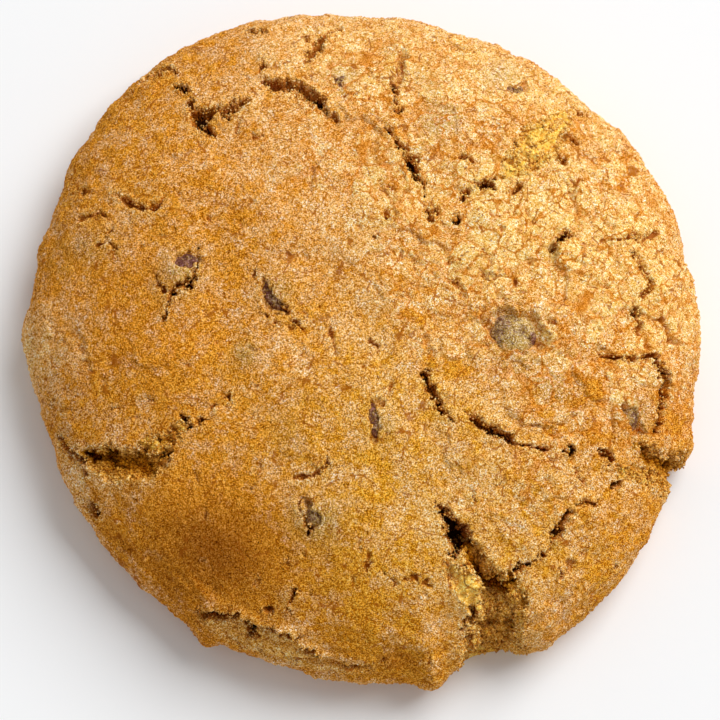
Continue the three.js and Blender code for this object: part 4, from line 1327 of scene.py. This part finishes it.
def crust_mesh(shape):
    """The crust as one closed surface: the cracked dome's grid, and flat rings under its foot."""
    count = shape.grid
    base = crust_base(shape, count)
    rise, looks = crust_fields(base.reshape(-1, 3), shape)
    cracked = base + grid_normals(base) * rise.reshape(count, count, 1)
    broken = np.maximum(looks["torn"], 0.5 * looks["pit"])
    crumbly, creases = crumb_relief(cracked.reshape(-1, 3), broken)
    # Creases between crumb clumps get painted shade, in the pit look and on the floors of tears.
    looks["pit"] = np.maximum(looks["pit"], 0.35 * creases * looks["torn"])
    looks["floor"] = np.clip(looks["floor"] * (0.9 + 1.2 * creases), 0, 1)
    crumbs = grid_normals(cracked) * crumbly.reshape(count, count, 1) * above_floor(base[..., 2:])
    dome = (cracked + crumbs).reshape(-1, 3)
    dome[:, 2] = np.maximum(dome[:, 2], 0)
    loop = square_loop(count)
    dome[loop, 2] = 0
    foot = foot_rings(dome[loop], FOOT_RINGS)
    starts = [len(dome) + order * len(loop) for order in range(len(FOOT_RINGS))]
    rings = [loop] + [start + np.arange(len(loop)) for start in starts]
    quads = [grid_faces(count, count)] + [ring_faces(outer, inner) for outer, inner in zip(rings, rings[1:])]
    middle = np.full(len(loop), len(dome) + len(foot) - 1)
    fan = np.stack([rings[-1], middle, np.roll(rings[-1], -1)], axis=1)
    under = {"brown": FOOT_BROWNING}
    for name, values in looks.items():
        looks[name] = np.concatenate([values, np.full(len(foot), under.get(name, 0.0))])
    return mesh_from("crust", np.vstack([dome, foot]), np.vstack(quads), fan, looks)


def drop_points():
    """Points of a drop from -1 to 1: its top, rows round it that narrow downwards, and its bottom."""
    columns, rows = CHIP_GRID
    turns = np.linspace(0, 2 * np.pi, columns, endpoint=False)
    tilts = np.linspace(0, np.pi, rows + 2)[1:-1]
    turn, tilt = np.meshgrid(turns, tilts)
    up = np.concatenate([[1.0], np.cos(tilt).ravel(), [-1.0]])
    round_x = np.concatenate([[0.0], (np.sin(tilt) * np.cos(turn)).ravel(), [0.0]])
    round_y = np.concatenate([[0.0], (np.sin(tilt) * np.sin(turn)).ravel(), [0.0]])
    taper = 1 - CHIP_TAPER * (1 - up) / 2
    return np.stack([round_x * taper, round_y * taper, up], axis=1)


def drop_faces():
    """Quads between a drop's rows, and triangles at its top and bottom."""
    columns, rows = CHIP_GRID
    ring = 1 + np.arange(rows * columns).reshape(rows, columns)
    quads = np.vstack([ring_faces(ring[row], ring[row + 1]) for row in range(rows - 1)])
    top = np.stack([np.zeros(columns, dtype=int), ring[0], np.roll(ring[0], -1)], axis=1)
    bottom = np.stack([np.full(columns, rows * columns + 1), np.roll(ring[-1], -1), ring[-1]], axis=1)
    return quads, np.vstack([top, bottom])


def chip_axes(chip, shape):
    """A chip's long, wide and upright directions. Upright is the crust's normal at its place."""
    outward = crust_normal(*chip.place, shape)
    side = np.cross((0, 1, 0), outward)
    side = side / np.linalg.norm(side)
    ahead = np.cross(outward, side)
    bearing = np.radians(chip.bearing)
    long_axis = side * np.cos(bearing) + ahead * np.sin(bearing)
    return np.stack([long_axis, np.cross(outward, long_axis), outward])


def chip_mesh(name, chip, shape):
    """A chip as a rough drop, broad at the top, set into the crust along its normal."""
    axes = chip_axes(chip, shape)
    top = np.array((*chip.place, crust_height(*chip.place, shape)))
    middle = top - axes[2] * (chip.cover + chip.height / 2)
    ball = drop_points() * (chip.length, chip.width, chip.height) / 2
    points = middle + ball @ axes
    spread = points - middle
    rough = 0.14 * lump_noise(points, 1.1, 71) + 0.05 * lump_noise(points, 0.45, 72)
    points = points + spread / np.linalg.norm(spread, axis=1, keepdims=True) * rough[:, None]
    dust = chip.dust - patch_sum(points, chip.clean)
    return mesh_from("chocolate_" + name, points, *drop_faces(), {"dust": dust})


def point_values(mesh, name):
    """A point attribute of a mesh."""
    values = np.zeros(len(mesh.vertices), dtype=np.float32)
    mesh.attributes[name].data.foreach_get("value", values)
    return values


def point_vectors(mesh, name):
    """The places or the normals of a mesh's points."""
    vectors = np.zeros(len(mesh.vertices) * 3, dtype=np.float32)
    mesh.vertices.foreach_get(name, vectors)
    return vectors.reshape(-1, 3)


def crumb_mesh(crust, count):
    """Loose grains as one mesh: small rough octahedra on crust points, drawn where ledges and tears are."""
    draw = np.random.default_rng(CRUMB_SEED)
    points = point_vectors(crust, "co")
    chance = point_values(crust, "ledge") * (points[:, 2] > CRUMB_LOW * MM)
    chosen = draw.choice(len(points), count, replace=False, p=chance / chance.sum())
    middles = points[chosen] / MM
    outward = point_vectors(crust, "normal")[chosen]
    radius = draw.uniform(*CRUMB_RADII, count) * (1 + point_values(crust, "torn")[chosen])
    size = radius[:, None, None]
    corners = np.array(GRAIN_CORNERS, dtype=float)
    sides = len(corners)
    turned = corners[None] * draw.uniform(0.7, 1.3, (count, sides, 1))
    turned = turned + draw.uniform(-0.3, 0.3, (count, sides, 3))
    grains = middles[:, None] + outward[:, None] * 0.3 * size + turned * size
    triangles = (np.array(GRAIN_FACES)[None] + sides * np.arange(count)[:, None, None]).reshape(-1, 3)
    # Crumbs take the crust's paleness, painted light included, its browning, and the painted shade of tear
    # floors.
    looks = {"torn": np.full(count * sides, 0.4)}
    for name in ("pale", "brown", "floor"):
        looks[name] = np.repeat(point_values(crust, name)[chosen], sides)
    return mesh_from("crumbs", grains.reshape(-1, 3), np.zeros((0, 4), dtype=int), triangles, looks)


def make_floor(colours):
    """A wide flat floor just under the cookie's foot."""
    signs = ((-1, -1, 0), (1, -1, 0), (1, 1, 0), (-1, 1, 0))
    points = FLOOR_HALF * np.array(signs, dtype=float)
    mesh = mesh_from("floor", points, np.array([[0, 1, 2, 3]]))
    mesh.materials.append(floor_finish(colours))
    floor = bpy.data.objects.new("floor", mesh)
    bpy.context.scene.collection.objects.link(floor)


def aim(item, back):
    """Turns a camera or lamp so that it looks against a direction, with its up as near to +Z as it can be."""
    right = np.cross((0, 0, 1), back)
    right = right / np.linalg.norm(right)
    upward = np.cross(back, right)
    turned = np.column_stack([right, upward, back])
    matrix = item.matrix_world.to_3x3()
    for row in range(3):
        matrix[row] = turned[row]
    item.rotation_euler = matrix.to_euler()


def make_light(scene, stage):
    """One large soft lamp high at the far right, and a bright even room."""
    lamp = bpy.data.lights.new("softbox", "AREA")
    lamp.energy = stage.light_power
    lamp.size = stage.light_size
    softbox = bpy.data.objects.new("softbox", lamp)
    bearing, elevation = np.radians(LAMP_BEARING), np.radians(LAMP_ELEVATION)
    level = np.cos(elevation)
    back = np.array((np.cos(bearing) * level, np.sin(bearing) * level, np.sin(elevation)))
    softbox.location = back * stage.light_distance
    aim(softbox, back)
    scene.collection.objects.link(softbox)
    world = bpy.data.worlds.new("room")
    world.use_nodes = True
    glow = world.node_tree.nodes["Background"]
    glow.inputs["Strength"].default_value = stage.fill
    glow.inputs["Color"].default_value = (1, 1, 1, 1)
    scene.world = world
    scene.view_settings.view_transform = "Standard"


def make_camera(scene, stage):
    """A long lens that looks down at the cookie from its near side."""
    lens = bpy.data.cameras.new("camera")
    lens.sensor_width = SENSOR_WIDTH
    lens.lens = SENSOR_WIDTH * stage.distance / stage.view_width
    camera = bpy.data.objects.new("camera", lens)
    back = np.array((0, -np.cos(stage.elevation), np.sin(stage.elevation)))
    upward = np.array((0, np.sin(stage.elevation), np.cos(stage.elevation)))
    looked_at = np.array(AIM_POINT) * MM - AIM_DROP * MM * upward
    camera.location = looked_at + back * stage.distance
    aim(camera, back)
    scene.collection.objects.link(camera)
    scene.camera = camera


def length_setting(name, description, millimetres):
    """A length that a user can set."""
    return FloatProperty(name=name, description=description, default=millimetres * MM, unit="LENGTH")


def colour_setting(name, description, *display):
    """A colour that a user can set, from its display colour."""
    return FloatVectorProperty(name=name, description=description, subtype="COLOR", default=srgb(*display))


class CookieShape(bpy.types.PropertyGroup):
    """Sizes of the cookie."""

    height: length_setting("Height", "Height of the dome", 19)
    waist: length_setting("Waist", "Height of the widest ring", 5)
    grid: IntProperty(name="Grid", description="Points along each side of the crust's grid", default=760)
    triangles: IntProperty(name="Triangles", description="Triangles kept in the crust", default=192000)
    crumbs: IntProperty(name="Crumbs", description="Grains of crumb at tears and cracks", default=11000)


class CookieColours(bpy.types.PropertyGroup):
    """Colours of the cookie and its floor."""

    golden: colour_setting("Golden crust", "Crust of the smooth plates", 214, 137, 40)
    butter: colour_setting("Buttery crust", "Yellower crust", 218, 154, 42)
    pale: colour_setting("Pale crust", "Crust of the flaking plates", 254, 207, 164)
    # Painted shade in shallow seams and creases.
    amber_shade: colour_setting("Amber crust", "Crust in shallow seams and creases", 184, 104, 24)
    # Painted shade in the fine cracks between flakes.
    seam: colour_setting("Seams", "Lines between the flakes", 204, 124, 34)
    toasted: colour_setting("Toasted crust", "Crust of the browned patches", 136, 70, 16)
    crumb: colour_setting("Crumb", "Inside of the dough where it is torn", 255, 204, 130)
    # Painted shade for crack walls, pits and hair lines.
    pit: colour_setting("Cracks", "Walls of cracks, specks and hair lines", 162, 86, 16)
    # Painted shade at the bottoms of the deepest cracks.
    hollow_shade: colour_setting("Hollows", "Bottom of the deepest cracks", 30, 10, 4)
    stain: colour_setting("Stain", "Golden crust that a chip shows through", 124, 136, 90)
    haze: colour_setting("Haze", "Pale crust that a chip shows through", 158, 172, 178)
    chocolate: colour_setting("Chocolate", "Clean chocolate", 96, 50, 44)
    bloom: colour_setting("Bloom", "Dull chocolate", 156, 108, 104)
    dust: colour_setting("Dust", "Crumb dust on the chips", 220, 186, 134)
    floor: colour_setting("Floor", "Pale floor", 248, 249, 250)


class CookieStage(bpy.types.PropertyGroup):
    """Camera and light."""

    elevation: FloatProperty(
        name="Elevation",
        description="Camera's angle above the floor",
        subtype="ANGLE",
        default=np.radians(76),
    )
    distance: length_setting("Distance", "From the camera to the cookie", 520)
    view_width: length_setting("View width", "Width of the picture at the cookie", 90)
    light_power: FloatProperty(name="Light", description="Power of the lamp", default=40.0, unit="POWER")
    light_size: length_setting("Light size", "Side of the lamp", 1500)
    light_distance: length_setting("Light distance", "From the lamp to the cookie", 2000)
    fill: FloatProperty(name="Fill", description="Brightness of the room", default=0.4)


class COOKIE_OT_stage(bpy.types.Operator):
    """Makes the floor, the soft light and the camera"""

    bl_idname = "cookie.stage"
    bl_label = "Stage"

    def execute(self, context):
        scene = context.scene
        stage = scene.cookie_stage
        make_floor(scene.cookie_colours)
        make_light(scene, stage)
        make_camera(scene, stage)
        return {"FINISHED"}


class COOKIE_OT_crust(bpy.types.Operator):
    """Makes the cracked crust over the whole cookie"""

    bl_idname = "cookie.crust"
    bl_label = "Crust"

    def execute(self, context):
        shape = context.scene.cookie_shape
        piece = add_piece("crust", crust_mesh(shape), crust_finish(context.scene.cookie_colours))
        thin_mesh(piece, shape.triangles)
        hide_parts("cookie")
        return {"FINISHED"}


class COOKIE_OT_chips(bpy.types.Operator):
    """Makes the chocolate chips that show through the crust"""

    bl_idname = "cookie.chips"
    bl_label = "Chips"

    def execute(self, context):
        scene = context.scene
        material = chocolate_finish(scene.cookie_colours)
        for name, chip in CHIPS.items():
            mesh = chip_mesh(name, chip, scene.cookie_shape)
            piece = add_piece("chocolate_" + name, mesh, material)
            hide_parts("chip_" + name)
        return {"FINISHED"}


class COOKIE_OT_crumbs(bpy.types.Operator):
    """Makes loose crumb grains at the tears and cracks"""

    bl_idname = "cookie.crumbs"
    bl_label = "Crumbs"

    def execute(self, context):
        scene = context.scene
        crust = bpy.data.objects["crust"].data
        add_piece("crumbs", crumb_mesh(crust, scene.cookie_shape.crumbs), crust.materials[0])
        return {"FINISHED"}


class COOKIE_PT_panel(bpy.types.Panel):
    """Lists the cookie's pieces, sizes and colours"""

    bl_idname = "COOKIE_PT_panel"
    bl_label = "Cookie"
    bl_space_type = "VIEW_3D"
    bl_region_type = "UI"
    bl_category = "Cookie"

    def draw(self, context):
        for operator in OPERATORS:
            self.layout.operator(operator.bl_idname)
        for group in (context.scene.cookie_shape, context.scene.cookie_colours, context.scene.cookie_stage):
            for name in type(group).__annotations__:
                self.layout.prop(group, name)


OPERATORS = (COOKIE_OT_stage, COOKIE_OT_crust, COOKIE_OT_chips, COOKIE_OT_crumbs)
GROUPS = {"cookie_shape": CookieShape, "cookie_colours": CookieColours, "cookie_stage": CookieStage}


def register():
    """Adds the classes, and the settings on the scene."""
    for item in (*GROUPS.values(), *OPERATORS, COOKIE_PT_panel):
        bpy.utils.register_class(item)
    for name, group in GROUPS.items():
        setattr(bpy.types.Scene, name, PointerProperty(type=group))


def unregister():
    """Takes the settings and the classes away again."""
    for name in GROUPS:
        delattr(bpy.types.Scene, name)
    for item in (COOKIE_PT_panel, *reversed(OPERATORS), *reversed(GROUPS.values())):
        bpy.utils.unregister_class(item)


def main():
    """Builds the stage and the cookie."""
    register()
    bpy.ops.cookie.stage()
    bpy.ops.cookie.crust()
    bpy.ops.cookie.chips()
    bpy.ops.cookie.crumbs()


if __name__ == "__main__":
    main()
